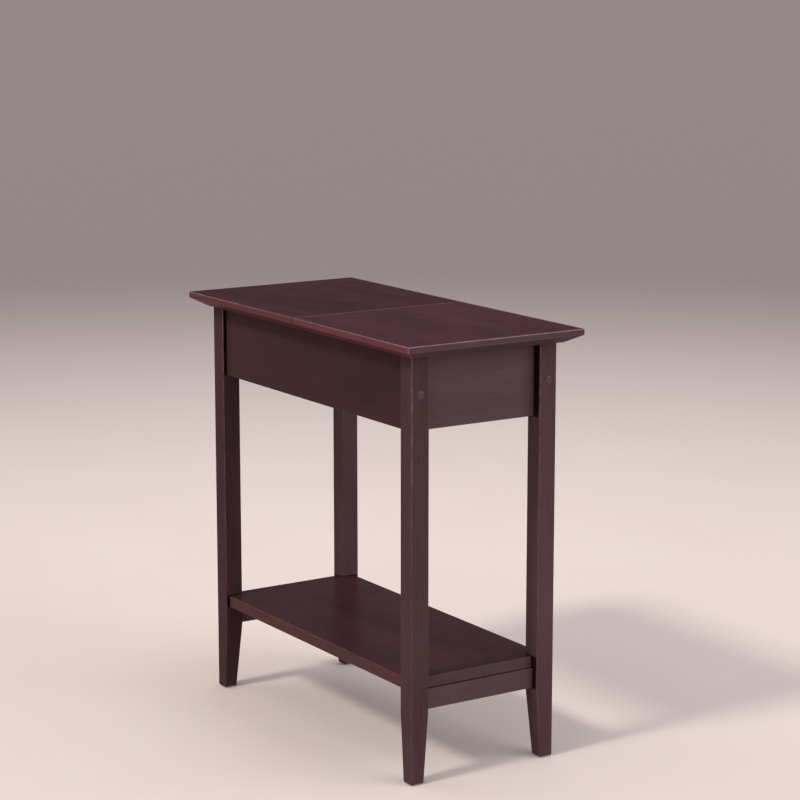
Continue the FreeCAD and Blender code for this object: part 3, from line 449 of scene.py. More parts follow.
def build(name, shells, material, node, rides=True, sharp=38, **carried):
    """One mesh of several shells, in millimetres. It takes the place of a node and rides on its body."""
    offset = np.cumsum([0] + [len(s[0]) for s in shells])
    faces = [face for s, start in zip(shells, offset) for face in (s[1] + start).tolist()]
    faces += [(lid + start).tolist() for s, start in zip(shells, offset) for lid in s[2]]
    mesh = bpy.data.meshes.new(name)
    mesh.from_pydata(np.vstack([s[0] for s in shells]) * MM, [], faces)
    face_outward(mesh)
    for key, values in {"wear_and_highlight": np.hstack([s[3] for s in shells]), **carried}.items():
        values = np.broadcast_to(values, offset[-1]).astype(np.float32)
        mesh.attributes.new(key, "FLOAT", "POINT").data.foreach_set("value", values)
    mesh.polygons.foreach_set("use_smooth", np.ones(len(faces), bool))
    mesh.set_sharp_from_angle(angle=math.radians(sharp))
    mesh.materials.append(material)
    piece = add_object(name, mesh)
    if rides:
        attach(piece, BODY_OF[node])
    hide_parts(node)
    made[name] = len(faces)
    return piece


# %% [markdown]
# ## Legs
#
# A leg is a square post. Below the shelf its two inner faces are planed to a taper, so the feet look
# light while the outer faces stay upright. It is made of square outlines stacked up, drawn in at
# the foot, where the arris is rounded off so that it doesn't split.

# %% Legs
SIDE_OF = {"left": -1, "right": 1}
SIDES, ENDS = (-1, 1), (-1, 1)
leg_low, (LEG_X, LEG_Y, LEG_TOP) = box("leg_back_right")
LEG, LEG_LOW = LEG_X - leg_low[0], leg_low[2]
FOOT, TAPER_TOP = 20.5, 100.0
SPARE = [60, 345]                   # heights of extra outlines in the long runs
BRIGHTER_FROM, BRIGHTER_TO = 250, 560     # between these heights the arrises are painted lighter and lighter: rubbing and a painted highlight
# Each leg's tone is raised or lowered to copy how much light falls on it: painted light and shade.
PALER = {"leg_front_left": 0.0, "leg_front_right": 0.3, "leg_back_left": -0.3, "leg_back_right": 0.35}
SHELF_LOW, SHELF_TOP = (corner[2] for corner in box("shelf"))
APRON_LOW = box("apron_left")[0][2]


def quarter(ease, steps=4, support=0.4):
    """Rise and draw-in of stations round a quarter circle, with a supporting one at each end.

    Rise = ease × (1 − cos t), draw-in = ease × (1 − sin t), for t from 0 to a right angle."""
    t = np.linspace(0, np.pi / 2, steps + 1)
    rise = np.hstack([[0], ease * (1 - np.cos(t)), [ease + support]])
    draw = np.hstack([[ease + support], ease * (1 - np.sin(t)), [0]])
    return rise, draw, np.hstack([[0], np.sin(2 * t), [0]])


def leg(side, end):
    """Stacked outlines: height, section size and draw-in at each station.

    A face carries painted shade where a board butts against it, by the share of the way in from its
    outer arris. Up the leg the arrises are painted lighter: rubbing and a painted highlight."""
    rise, draw, near = quarter(1.6)
    shoulder, tuck, near_top = quarter(0.4, 2, 0.3)
    above = [SHELF_TOP, SHELF_TOP + 2, APRON_LOW - 1, APRON_LOW + 1, LEG_TOP - 0.5, LEG_TOP - 0.1]
    below = [TAPER_TOP - 3, TAPER_TOP, TAPER_TOP + 3, SHELF_LOW - 1, SHELF_LOW + 1]
    plain = sorted(SPARE + below + above[:4])
    upright = np.zeros(len(plain))
    height = np.hstack([LEG_LOW + rise, plain, LEG_TOP - shoulder[::-1]])
    inset = np.hstack([draw, upright, tuck[::-1]])
    wear_and_highlight_share = np.hstack([near, upright, near_top[::-1]])
    size = np.interp(height, [LEG_LOW, TAPER_TOP], [FOOT, LEG])
    brighter = np.interp(height, [BRIGHTER_FROM, BRIGHTER_TO], [0.5, 2.0])
    by_ends = np.interp(height, [TAPER_TOP, TAPER_TOP + 3] + above, [0, 1, 1, 0, 0, 1, 1, 0])
    by_sides = np.interp(height, [SHELF_LOW - 1, SHELF_LOW + 1] + above, [0, 1, 1, 0, 0, 1, 1, 0])
    rings, wear_and_highlight, sheltered = [], [], []
    for z, s, d, w, brighter_by, of_end, of_side in zip(height, size, inset, wear_and_highlight_share, brighter, by_ends, by_sides):
        line, near_arris = rounded(rectangle((d, d), (s - d, s - d)), max(1.8 - d, 0.35))
        x, y = line.T
        rings.append(layer((LEG_X, LEG_Y) - line, z) * (side, end, 1))
        wear_and_highlight.append(np.maximum(near_arris * brighter_by, w))
        sheltered.append(np.where(x > y, y * of_end, x * of_side) / LEG)
    return shell(rings, wear_and_highlight), np.hstack(sheltered)


for end_name, end in (("front", -1), ("back", 1)):
    for side_name, side in SIDE_OF.items():
        node = f"leg_{end_name}_{side_name}"
        post, sheltered = leg(side, end)
        build(f"{node}_post", [post], leg_wood, node, sheltered=sheltered, paler=PALER[node])
print("legs:", list(made))

# %% [markdown]
# ## The top
#
# The top is made to look light: below an upright band the underside is planed back in a wide
# bevel. The edge is a small drawing, from the underside out along the bevel, up the band and over
# the rounded arris. Each half of the top is that drawing carried round three sides. The fourth side
# is the seam, cut square.

# %% The two halves of the top
HALF_X, HALF_Y, TOP = box("fixed_top")[1]
BAND, BEVEL, CORNER, SEAM_EASE = 8.5, 20.0, 2.0, 1.0


def edge_drawing(under):
    """The edge as (how far in, height) points, and how near each is to an arris."""
    line = [(BEVEL + 3, under), (BEVEL, under), (0, TOP - BAND), (0, TOP), (5, TOP)]
    return rounded(line, [0.8, 1.4, 1.4], arc=6, support=0.5, closed=False)


def half_top(end, seam, under):
    """Outlines stacked along the edge drawing. Returns the shell, and where its band and its ends are, which
    take painted tints.
    """
    drawing, near = edge_drawing(under)
    rings, wear_and_highlight, lips, ends = [], [], [], []
    for (inset, z), wear_and_highlight_share in zip(drawing, near):
        over = min(max((z - TOP) / SEAM_EASE + 1, 0.0), 1.0)
        back = SEAM_EASE * (1 - math.sqrt(1 - over ** 2)) + (1.5 if inset > 3 and z == TOP else 0.0)
        x, far, near_y = HALF_X - inset, HALF_Y - inset, end * seam + back
        corner = max(CORNER - max(0.0, inset), 0.4) if z > TOP - BAND + 1 else CORNER
        line, near_corner = rounded(rectangle((-x, near_y), (x, far)), [0.4, 0.4, corner, corner], arc=5)
        rings.append(layer(line, z) * (1, end, 1))
        seam_side = np.isclose(line[:, 1], near_y, atol=0.9)
        # The seam side gets a thin painted highlight line; the other arrises are painted lighter for rubbing
        # and a painted highlight, and below the top only a little.
        wear_and_highlight_share = wear_and_highlight_share if z > TOP - 2 else wear_and_highlight_share * 0.2
        wear_and_highlight.append(np.where(seam_side, 0.4 * over, np.maximum(near_corner * 0.6, wear_and_highlight_share)))
        # The band takes the full lip or end tint and the bevel 0.8 of it; on the bevel this is painted light
        # for the bounce off the floor.
        on_band = np.interp(z, [TOP - BAND - 1.5, TOP - BAND + 0.5, TOP - 0.8, TOP], [0.6, 1, 1, 0])
        shown = on_band if inset < 1.4 else (0.8 if z < TOP - 1 else 0.0)
        # Long sides take the lip tint and the ends the end tint: painted warm light on the long sides and
        # cool light on the ends.
        long_side = np.abs(line[:, 0]) > x - CORNER
        lips.append(np.where(long_side, shown, 0.0))
        ends.append(np.where(long_side | seam_side, 0.0, shown))
    return shell(rings, wear_and_highlight), {"lip": np.hstack(lips), "end": np.hstack(ends)}


(_, _, lid_under), (_, lid_seam, _) = box("lid_panel")
for name, node, wood, place in (("lid_board", "lid_panel", lid_wood, (-1, lid_seam, lid_under)),
                                ("fixed_board", "fixed_top", fixed_wood, (1, *box("fixed_top")[0][1:]))):
    half, tints = half_top(*place)
    build(name, [half], wood, node, **tints)
print("each half of the top has", made["lid_board"], "faces")

# %% [markdown]
# ## Aprons, stretchers and the rail
#
# These are planed boards. The frame knows where each one lies, so a rounded outline is carried from
# one end of its box to the other.

# %% Straight boards
ROLL = {"x": 1, "y": -1, "z": 0}


def both_ends(low, high, ease, steps=3, support=0.3):
    """Stations from low to high, each with its draw-in and wear, eased alike at both ends."""
    rise, draw, wear_and_highlight_share = quarter(ease, steps, support)
    return zip([*(low + rise), *(high - rise[::-1])], [*draw, *draw[::-1]], [*wear_and_highlight_share, *wear_and_highlight_share[::-1]])


def board(node, axis, arris=1.0, end_arris=0.25):
    """Rounded rectangle carried along an axis, drawn in round a quarter circle at both ends."""
    (a0, b0, h0), (a1, b1, h1) = (np.roll(corner, -ROLL[axis]) for corner in box(node))
    rings, wear_and_highlight = [], []
    for h, d, w in both_ends(h0, h1, end_arris):
        line, near = rounded(rectangle((a0 + d, b0 + d), (a1 - d, b1 - d)), max(arris - d, 0.25))
        rings.append(np.roll(layer(line, h), ROLL[axis], 1))
        wear_and_highlight.append(np.maximum(near, w * 0.6))
    return shell(rings, wear_and_highlight)


BOARDS = [("y", side_wood, "apron_left apron_right"), ("x", end_wood, "apron_front apron_back"),
          ("x", stretcher_wood, "stretcher_front stretcher_back"), ("x", rail_wood, "centre_rail"),
          ("y", inside_wood, "top_cleat_left top_cleat_right")]
for axis, wood, nodes in BOARDS:
    for node in nodes.split():
        build(f"{node}_board", [board(node, axis)], wood, node)
print("boards so far:", [name for name in made if "board" in name])

# %% [markdown]
# ## The shelf and the compartment's floor
#
# Both are flat boards with a square notch at each corner, where a leg passes. It is cut after the
# edges are rounded, so its own edges stay crisp.

# %% Notched boards
NOTCH_X, NOTCH_Y = LEG_X - LEG - 0.5, LEG_Y - LEG - 0.5


def notched(node, ease, outer=1.2):
    """Outline of twelve corners, drawn in at the lower and the upper arris. The notch stays."""
    low, high = box(node)
    nx, ny = NOTCH_X, NOTCH_Y
    rings, wear_and_highlight = [], []
    for z, d, w in both_ends(low[2], high[2], ease, 4):
        x, y = high[:2] - d
        half = [(x, -ny), (x, ny), (nx, ny), (nx, y), (-nx, y), (-nx, ny)]
        line, near = rounded(np.vstack([half, np.negative(half)]), [outer, outer, 0.5] * 4, arc=3)
        rings.append(layer(line, z))
        wear_and_highlight.append(np.maximum(near * 0.6, w))
    return shell(rings, wear_and_highlight)


shelf = notched("shelf", 1.2)
x, y, z = np.abs(shelf[0].T)
EDGE_X, EDGE_Y = box("shelf")[1][:2] - 4.5
on_edge = (z > SHELF_LOW + 0.4) & (z < SHELF_TOP - 0.4)
# The shelf's long edges take the lip tint and its ends the end tint, painted warm and cool light; the lowest
# 1.3 mm of each end, over a stretcher, is painted shade.
build("shelf_board", [shelf], shelf_wood, "shelf", lip=on_edge & (x > EDGE_X), end=on_edge & (y > EDGE_Y),
      sheltered=0.3 * ((z < SHELF_LOW + 1.3) & (y > EDGE_Y)))
build("floor_board", [notched("compartment_floor", 0.3, 0.4)], inside_wood, "compartment_floor")
print("the shelf has", made["shelf_board"], "faces")

# %% [markdown]
# ## Turned parts
#
# Caps, glides, bumpers, rivets, washers and the cross bar are round. Half a section, drawn as
# distance along the axis against radius, is swept once round the axis.

# %% Sweeping a profile round an axis
TINY, UP = 0.02, (0, 0, 1)      # TINY is the radius of the hole that a lid closes at a pole


def placed(points, origin, direction, spin=0.0):
    """Local points, their third value along the axis, moved so that the axis starts at origin."""
    d = np.asarray(direction, float)
    side = unit(np.cross(d, (0, 0, 1) if abs(d[2]) < 0.9 else (0, 1, 0)))
    other = np.cross(d, side)
    c, s = math.cos(spin), math.sin(spin)
    axes = np.array([c * side + s * other, c * other - s * side, d])
    return np.asarray(origin, float) + points @ axes


def full_turn(count):
    """Cosine and sine of that many angles t, evenly round a circle."""
    t = np.linspace(0, 2 * np.pi, count, endpoint=False)
    return np.array([np.cos(t), np.sin(t)])


def turned(profile, radii, origin, direction, around=48, hollow=False, support=0.08, arc=4):
    """Point at angle t: (radius × cos t, radius × sin t, distance along the axis)."""
    line, near = rounded(profile, radii, arc=arc, support=support, closed=hollow)
    cosine, sine = full_turn(around)
    rings = np.stack([line[:, 1:] * cosine, line[:, 1:] * sine, line[:, :1] * np.ones(around)], -1)
    return shell(placed(rings, origin, direction), near[:, None], hollow)


print("a turned part stands in", full_turn(48).shape[1], "angles")

# %% [markdown]
# Four bolts pull the side aprons into the legs. Each head sits in a bore, closed by a low domed
# cap. A nylon glide is nailed under each foot, and four rubber bumpers meet the closing lid.

# %% Caps, glides and bumpers
APRON_IN = -box("apron_left")[1][0]
CAP, BUMPER = 5.75, 3.0     # radii
BOLT_X, BOLT_Z = box("bolt_caps")[1][0] - CAP, middle("bolt_caps")[2]
bumper_low, bumper_high = box("lid_bumpers")
BUMPER_X, BUMPER_TALL = bumper_high[0] - BUMPER, bumper_high[2] - bumper_low[2]
BUMPER_ROWS = (middle("apron_front")[1], bumper_high[1] - BUMPER)


def bolt_cap(side, end):
    """Dome over a rim, with the plug that holds it in the bore. Height falls as radius squared."""
    dome = [(-1.4 + 0.55 * (r / CAP) ** 2, r) for r in np.linspace(TINY, 4.6, 8)]
    rest = [(-0.62, CAP - 0.3), (-0.5, CAP), (0.0, CAP), (0.0, 5.15), (3.0, 5.15), (3.0, TINY)]
    bends = [3.0] * 7 + [0.25, 0.12, 0.05, 0.05, 0.3]
    return turned(dome + rest, bends, (side * BOLT_X, end * LEG_Y, BOLT_Z), (0, -end, 0), 64, support=0.02,
                  arc=2)


def foot_glide(side, end):
    line = [(-1.5, TINY), (-1.5, 6.4), (-0.9, 7.4), (0, 7.5), (0, TINY)]
    place = (side * (LEG_X - FOOT / 2), end * (LEG_Y - FOOT / 2), LEG_LOW)
    return turned(line, [0.4, 0.4, 0.1], place, UP)


def bumper(x, y):
    line = [(0, TINY), (0, BUMPER), (BUMPER_TALL, BUMPER), (BUMPER_TALL, TINY)]
    return turned(line, [0.1, 0.6], (x, y, bumper_low[2]), UP, 40)


build("leg_bolt_caps", [bolt_cap(s, e) for s in SIDES for e in ENDS], cap_plastic, "bolt_caps")
build("nylon_glides", [foot_glide(s, e) for s in SIDES for e in ENDS], nylon, "foot_glides")
build("rubber_bumpers", [bumper(s * BUMPER_X, y) for s in SIDES for y in BUMPER_ROWS], rubber, "lid_bumpers")
print("four caps have", made["leg_bolt_caps"], "faces")

# %% [markdown]
# ## The lift's geometry
#
# On each side two links of equal length turn on the side apron and carry the lid, so their four
# pivots are the corners of a parallelogram and the lid stays level. Depths into the compartment
# are measured from the side apron's inner face.

# %% Pivots
REAR_BASE, FRONT_BASE, LID_MIDDLE, STOP, BAR = [
    middle(node)[1:] for node in ("rear_base_pins", "front_base_pins", "lid_pins", "stop_pins", "cross_bar")]
LINK = LID_MIDDLE - (REAR_BASE + FRONT_BASE) / 2
LINK_SLOPE = math.atan2(LINK[1], LINK[0])
REAR_LID, FRONT_LID = REAR_BASE + LINK, FRONT_BASE + LINK
SHEET, WASHER = 2.5, 0.8        # thicknesses
LINK_U = SHEET + WASHER
LINK_INU = LINK_U + SHEET
WEB_U = LINK_INU + WASHER
WEB_INU = WEB_U + SHEET


def at(side, u, point):
    """Place in the room of a depth u behind one side apron and a (y, z) point."""
    return (side * (APRON_IN - u), point[0], point[1])


print("the links are", round(math.hypot(*LINK), 1), "mm between pivots")

# %% [markdown]
# Rivets hold the links. Their heads are pressed, so the face dips a little in the middle and the
# rim is rounded. A nylon washer on each side of a link keeps steel off steel. The bar between the
# rear links is turned down at both ends, where it goes through them.

# %% Rivets, washers, stops and the cross bar
PIN, HEAD, STOP_R, BAR_R = 3.5, 6.5, 3.0, 5.0   # radii
HOLE, WASHER_R = 3.55, 7.0
HEAD_TALL, DIP, STOP_LONG = 1.8, 0.25, 6.2
HEAD_BENDS, WASHER_BENDS = [0.05, 0.15, 0.5, 0.5, 0.4, 0.3], [0.08, 0.2, 0.2, 0.08]
SPRING_U, SPRING_LONG = WEB_U + 0.2, 9.5


def head(low, way):
    """Section of a head from shank to middle. It stands at the depth low and faces way, 1 or -1."""
    section = [(0, PIN), (0, HEAD), (HEAD_TALL - 0.35, HEAD), (HEAD_TALL, 5.6), (HEAD_TALL, 2.6),
               (HEAD_TALL - DIP, 1.7), (HEAD_TALL - DIP, TINY)]
    return [(low + way * rise, radius) for rise, radius in section]


def washer(u):
    return [(u, HOLE), (u, WASHER_R), (u + WASHER, WASHER_R), (u + WASHER, HOLE)]


def pivots(name, node, material, points, lines, bends, around=48, hollow=False):
    """Turned parts at points on both sides, each line a section of (depth into the room, radius)."""
    build(name, [turned(line, bends, at(side, 0, point), (-side, 0, 0), around, hollow)
                 for side in SIDES for point in points for line in lines], material, node)


SHANK = [(0, TINY), (0, PIN)]
pivots("rear_base_rivets", "rear_base_pins", rivet, [REAR_BASE],
       [SHANK + head(SPRING_U + SPRING_LONG + 0.2, 1)], [0.2] + HEAD_BENDS)
pivots("front_base_rivets", "front_base_pins", rivet, [FRONT_BASE], [SHANK + head(WEB_U, 1)],
       [0.2] + HEAD_BENDS)
pivots("lid_rivets", "lid_pins", rivet, [REAR_LID, FRONT_LID],
       [head(LINK_U, -1)[::-1] + head(WEB_INU, 1)], HEAD_BENDS[::-1] + HEAD_BENDS)
pivots("base_nylon_washers", "base_washers", nylon, [REAR_BASE, FRONT_BASE],
       [washer(SHEET), washer(LINK_INU)], WASHER_BENDS, 40, True)
pivots("lid_nylon_washers", "lid_washers", nylon, [REAR_LID, FRONT_LID], [washer(LINK_INU)],
       WASHER_BENDS, 40, True)
pivots("link_stops", "stop_pins", rivet, [STOP],
       [[(0, TINY), (0, STOP_R), (STOP_LONG, STOP_R), (STOP_LONG, TINY)]], [0.1, 0.5], 32)
end, shoulder = APRON_IN - LINK_U, APRON_IN - LINK_INU
half = [(shoulder, BAR_R), (shoulder, PIN), (end, PIN), (end, TINY)]
bar = turned([(-x, radius) for x, radius in half[::-1]] + half, [0.3, 0.05, 0.5, 0.5, 0.05, 0.3],
             (0, *BAR), (1, 0, 0))
build("tie_bar", [bar], zinc, "cross_bar")
print("the cross bar has", made["tie_bar"], "faces")

# %% [markdown]
# ## Links
#
# A link is a flat bar with round ends, punched from sheet and tumbled, so its arrises are eased.
# Its outline is the edge of two equal discs with a belt round them.

# %% Links
LINK_R = 10.0


def belt(a, b, radius, steps=20):
    """Two half circles, one about each point, joined by straight runs."""
    t = math.atan2(b[1] - a[1], b[0] - a[0]) + np.linspace(-np.pi / 2, np.pi / 2, steps)
    half = radius * np.column_stack([np.cos(t), np.sin(t)])
    return np.vstack([b + half, a - half])


def link(side, a, b):
    """The belt's outline stacked through the sheet's thickness, drawn in at both faces."""
    rings, wear_and_highlight = [], []
    for u, d, w in both_ends(LINK_U, LINK_INU, 0.45, support=0.25):
        rings.append(np.roll(layer(belt(a, b, LINK_R - d), side * (APRON_IN - u)), 1, 1))
        wear_and_highlight.append([w])
    return shell(rings, wear_and_highlight)


for name, side in SIDE_OF.items():
    build(f"rear_link_{name}_bar", [link(side, REAR_BASE, REAR_LID)], powder, f"rear_link_{name}")
    build(f"front_link_{name}_bar", [link(side, FRONT_BASE, FRONT_LID)], powder, f"front_link_{name}")
print("links:", made["rear_link_left_bar"], "faces each")

# %% [markdown]
# ## Brackets
#
# A bracket is a flat blank, folded along one line. So it is a rounded strip of sheet, carried down
# the web, round the bend and out along the foot. Its width at each station is found by rolling a
# disc along the blank's corners.

# %% Bent brackets
BEND = 4.0      # outer radius of a fold


def reach(height, points, radius, way):
    """How far a disc rolled along a line of points reaches at each height: the largest of
    way × y + sqrt(radius² − (height − z)²) over all its places (y, z)."""
    share = np.linspace(0, len(points) - 1, 240)
    y, z = (np.interp(share, range(len(points)), values) for values in np.transpose(points))
    gap = radius ** 2 - (height[:, None] - z) ** 2
    out = np.where(gap >= 0, way * y + np.sqrt(np.maximum(gap, 0)), -np.inf)
    return way * out.max(1)


def fold(side, start_u, level, up, z, discs, radius, span, flange, tip=4.0):
    """Strip of sheet from the web's free end, through its stations z, round the bend, to the flange's tip.

    Two lines of discs give the web's low and high edge. Within a disc's radius of the flange's level
    the web is as wide as the flange. The bend is a quarter circle, and so are the corners at the tip.
    """
    straight = up * (z - level) <= radius + 1e-6
    web_low, web_high = (np.where(straight, edge, reach(z, line, radius, way))
                         for edge, line, way in zip(span, discs, (-1, 1)))
    t = np.linspace(0, np.pi / 2, 7)[1:]
    a = np.linspace(0, np.pi / 2, 8)[1:] * 0.985
    out = np.append(np.linspace(BEND, flange - tip, 5)[1:], flange - tip * (1 - np.sin(a)))
    web, flat = np.zeros(len(z)), np.ones(len(out))
    depth = np.hstack([web, BEND * (1 - np.cos(t)), out]) + start_u
    height = np.hstack([z, level + up * BEND * (1 - np.sin(t)), level * flat])
    lean = np.hstack([web, t, np.pi / 2 * flat])
    edge = np.append(np.zeros(len(t) + len(out) - len(a)), tip * (1 - np.cos(a)))
    low = np.hstack([web_low, span[0] + edge])
    high = np.hstack([web_high, span[1] - edge])
    rings, wear_and_highlight = [], []
    for u, z, tilt, a, b in zip(depth, height, lean, low, high):
        line, near = rounded(rectangle((a, 0), (b, SHEET)), min(0.4, (b - a) * 0.24), arc=3, support=0.05)
        y, thick = line.T
        x = side * (APRON_IN - u - thick * math.cos(tilt))
        rings.append(np.column_stack([x, y, z + up * thick * math.sin(tilt)]))
        wear_and_highlight.append(near)
    return shell(rings, wear_and_highlight)


BASE_R, LID_R = 9.0, 10.0       # radii of the webs' round corners
ROUND = np.linspace(0.06, np.pi / 2, 9)     # angles from a web's end to its side
base_low, base_high = box("base_bracket_left")
under_low, under_high = box("lid_bracket_left")
BASE_FRONT = np.array([FRONT_BASE[0] - 5, base_low[2] + BASE_R])
BASE_REAR = np.array([base_high[1] - BASE_R, base_low[2] + BASE_R])


def base_bracket(side):
    """Web round the stop and both pivots, with its foot turned in over the compartment's floor."""
    shoulder = BASE_FRONT[1]
    z = np.hstack([STOP[1] + BASE_R * np.cos(ROUND), np.linspace(STOP[1] - 2.5, shoulder + 2, 14),
                        shoulder - np.array([0, 2.5, 5])])
    discs = [BASE_FRONT, STOP], [BASE_REAR, REAR_BASE, FRONT_BASE, STOP]
    return fold(side, 0.0, base_low[2], 1, z, discs, BASE_R, (BASE_FRONT[0] - BASE_R, base_high[1]),
                base_high[0] - base_low[0])


def lid_bracket(side):
    """Web round both lid pivots, with its flange turned in under the lid."""
    shoulder = under_high[2] - LID_R
    z = np.hstack([REAR_LID[1] - LID_R * np.cos(ROUND),
                        np.linspace(REAR_LID[1] + 1.6, shoulder - 1.5, 18), shoulder + np.array([0, 3, 6])])
    discs = [REAR_LID, FRONT_LID, (under_low[1] + LID_R, shoulder)], [REAR_LID, (REAR_LID[0], shoulder)]
    return fold(side, WEB_U, under_high[2], -1, z, discs, LID_R, (under_low[1], under_high[1]),
                under_high[0] - under_low[0], 5.0)


for name, side in SIDE_OF.items():
    build(f"base_bracket_{name}_sheet", [base_bracket(side)], powder, f"base_bracket_{name}")
    build(f"lid_bracket_{name}_sheet", [lid_bracket(side)], powder, f"lid_bracket_{name}")
print("a base bracket has", made["base_bracket_left_sheet"], "faces")

# %% [markdown]
# ## Screws
#
# The screws have low raised heads with a cross recess. The face is a height field over rings: a
# shallow dome, pressed flat inside the cross. The four barrel nuts, which take the leg bolts, are
# discs with a straight slot, made in the same way.

# %% Screws and barrel nuts
def driven(radius, inside, dome, rest):
    """Face of rings, domed by dome × (1 − (radius / rim)²) and flat inside the recess, then the body."""
    face = -dome * (1 - (radius / (radius[-1] + 0.1)) ** 2) * (1 - inside) - 0.06 * inside
    around = inside.shape[1]
    cosine, sine = full_turn(around)
    rest = np.array(rest)
    wide = np.vstack([radius, rest[:, 1:]])
    height = np.vstack([face, rest[:, :1] * np.ones(around)])
    shade = np.vstack([inside, np.zeros((len(rest), around))])
    return np.stack([wide * cosine, wide * sine, height], -1), shade.reshape(-1)


def screw(length):
    """Inside the cross: the nearer arm's middle line is within its half width, and the radius small."""
    radius = np.array([TINY, 0.3, 0.5, 0.7, 0.9, 1.2, 1.5, 1.8, 2.0, 2.1, 2.4, 2.8, 3.1, 3.3])[:, None]
    arm = np.abs(radius * full_turn(64)[:, None]).min(0)
    inside = np.clip((0.55 - 0.06 * radius - arm) / 0.1, 0, 1) * np.clip((2.1 - radius) / 0.1, 0, 1)
    rest = [(0.04, 3.42), (0.16, 3.45), (2.2, 1.75), (2.6, 1.72), (length - 4, 1.7), (length, TINY)]
    return driven(radius, inside, 0.5, rest)


def barrel_nut(length):
    """Inside the slot: radius × sin t is within half the slot's width."""
    radius = np.array([TINY, 0.5, 0.8, 1.2, 1.8, 2.4, 3.0, 3.6, 4.1, 4.5, 4.8])[:, None]
    inside = np.clip((0.65 - np.abs(radius * full_turn(128)[1])) / 0.12, 0, 1)
    return driven(radius, inside, 0.35, [(0.05, NUT), (length, NUT), (length, TINY)])


def screws(name, node, drawing, places, spin=0.7):
    """One drawing at (origin, direction) places. Each is left at its own angle, as a driver leaves it."""
    rings, shade = drawing
    shells = [shell(placed(rings, *place, spin + 1.9 * k)) for k, place in enumerate(places)]
    build(name, shells, zinc, node, sharp=30, sheltered=np.tile(shade, len(places)))


SCREW_HEAD, NUT = 3.5, 5.0                  # radii
LONG, MEDIUM, SHORT = 39.5, 26.0, 13.5      # lengths
IN_CLEAT, IN_TOP = 35, 18                   # from a cleat's ends to its outer screws
cleat_low, cleat_high = box("top_cleat_right")
CLEAT_X, _, CLEAT_Z = middle("top_cleat_right")
nut_x, nut_y, _ = box("barrel_nuts")[1]
SHELF_SCREW_X, SHELF_SCREW_Y = box("shelf_screws")[1][0] - SCREW_HEAD, middle("stretcher_back")[1]
STRETCHER_LOW = box("stretcher_back")[0][2]
CLEAT_ROWS = (cleat_low[1] + IN_CLEAT, cleat_high[1] - IN_CLEAT)
TOP_ROWS = np.linspace(cleat_low[1] + IN_TOP, cleat_high[1] - IN_TOP, 3)
BASE_POINTS = (BASE_FRONT, BASE_REAR, (FRONT_BASE + STOP) / 2)
LID_ROWS = np.linspace(under_low[1] + LID_R, under_high[1] - LID_R, 3)
LID_SCREW_X = box("lid_bracket_screws")[1][0] - SCREW_HEAD
screws("shelf_board_screws", "shelf_screws", screw(LONG),
       [((s * SHELF_SCREW_X, e * SHELF_SCREW_Y, STRETCHER_LOW), UP) for s in SIDES for e in ENDS])
screws("cleat_board_screws", "cleat_screws", screw(MEDIUM),
       [((s * cleat_low[0], y, CLEAT_Z), (s, 0, 0)) for s in SIDES for y in CLEAT_ROWS])
screws("top_board_screws", "top_screws", screw(MEDIUM),
       [((s * CLEAT_X, y, cleat_low[2]), UP) for s in SIDES for y in TOP_ROWS])
screws("base_sheet_screws", "base_bracket_screws", screw(SHORT),
       [(at(s, SHEET, p), (s, 0, 0)) for s in SIDES for p in BASE_POINTS])
screws("lid_sheet_screws", "lid_bracket_screws", screw(SHORT),
       [((s * LID_SCREW_X, y, under_high[2] - SHEET), UP) for s in SIDES for y in LID_ROWS])
screws("slotted_nuts", "barrel_nuts", barrel_nut(nut_x - APRON_IN),
       [((s * APRON_IN, e * (nut_y - NUT), BOLT_Z), (s, 0, 0)) for s in SIDES for e in ENDS], 0.3)
print("one set of screws has", made["base_sheet_screws"], "faces")

# %% [markdown]
# ## Torsion springs
#
# A spring on each rear rivet helps the lid up. Its wire stands in the bracket's foot, winds round
# the rivet, runs out along the link and hooks through it. One end stays with the table and the
# other turns with the link. The piece rides on neither body.

# %% Springs
COIL, WIRE, PITCH = 5.55, 0.9, 1.9      # radii of coil and wire, and the room one turn takes
ARM, HOOK = 22.0, 1.5                   # length along the link, and the hook's bend
FINISH = LINK_SLOPE + math.radians(4 * 360 - 90)
TAIL_U, ARM_U = SPRING_U + SPRING_LONG - PITCH / 2, SPRING_U + PITCH / 2


def sweep(path, radius, around=14):
    """Circle carried along a path. Each frame is the last one turned as little as possible."""
    steps = unit(np.diff(path, axis=0))
    tangents = unit(np.vstack([steps[:1], steps[:-1] + steps[1:], steps[-1:]]))
    normal = np.cross(tangents[0], (0.3, 0.5, 0.8))
    frames = []
    for direction in tangents:
        normal = unit(normal - direction * (normal @ direction))
        frames.append((normal, np.cross(direction, normal)))
    return shell(path[:, None] + radius * np.einsum("kt,pkx->ptx", full_turn(around), np.array(frames)))


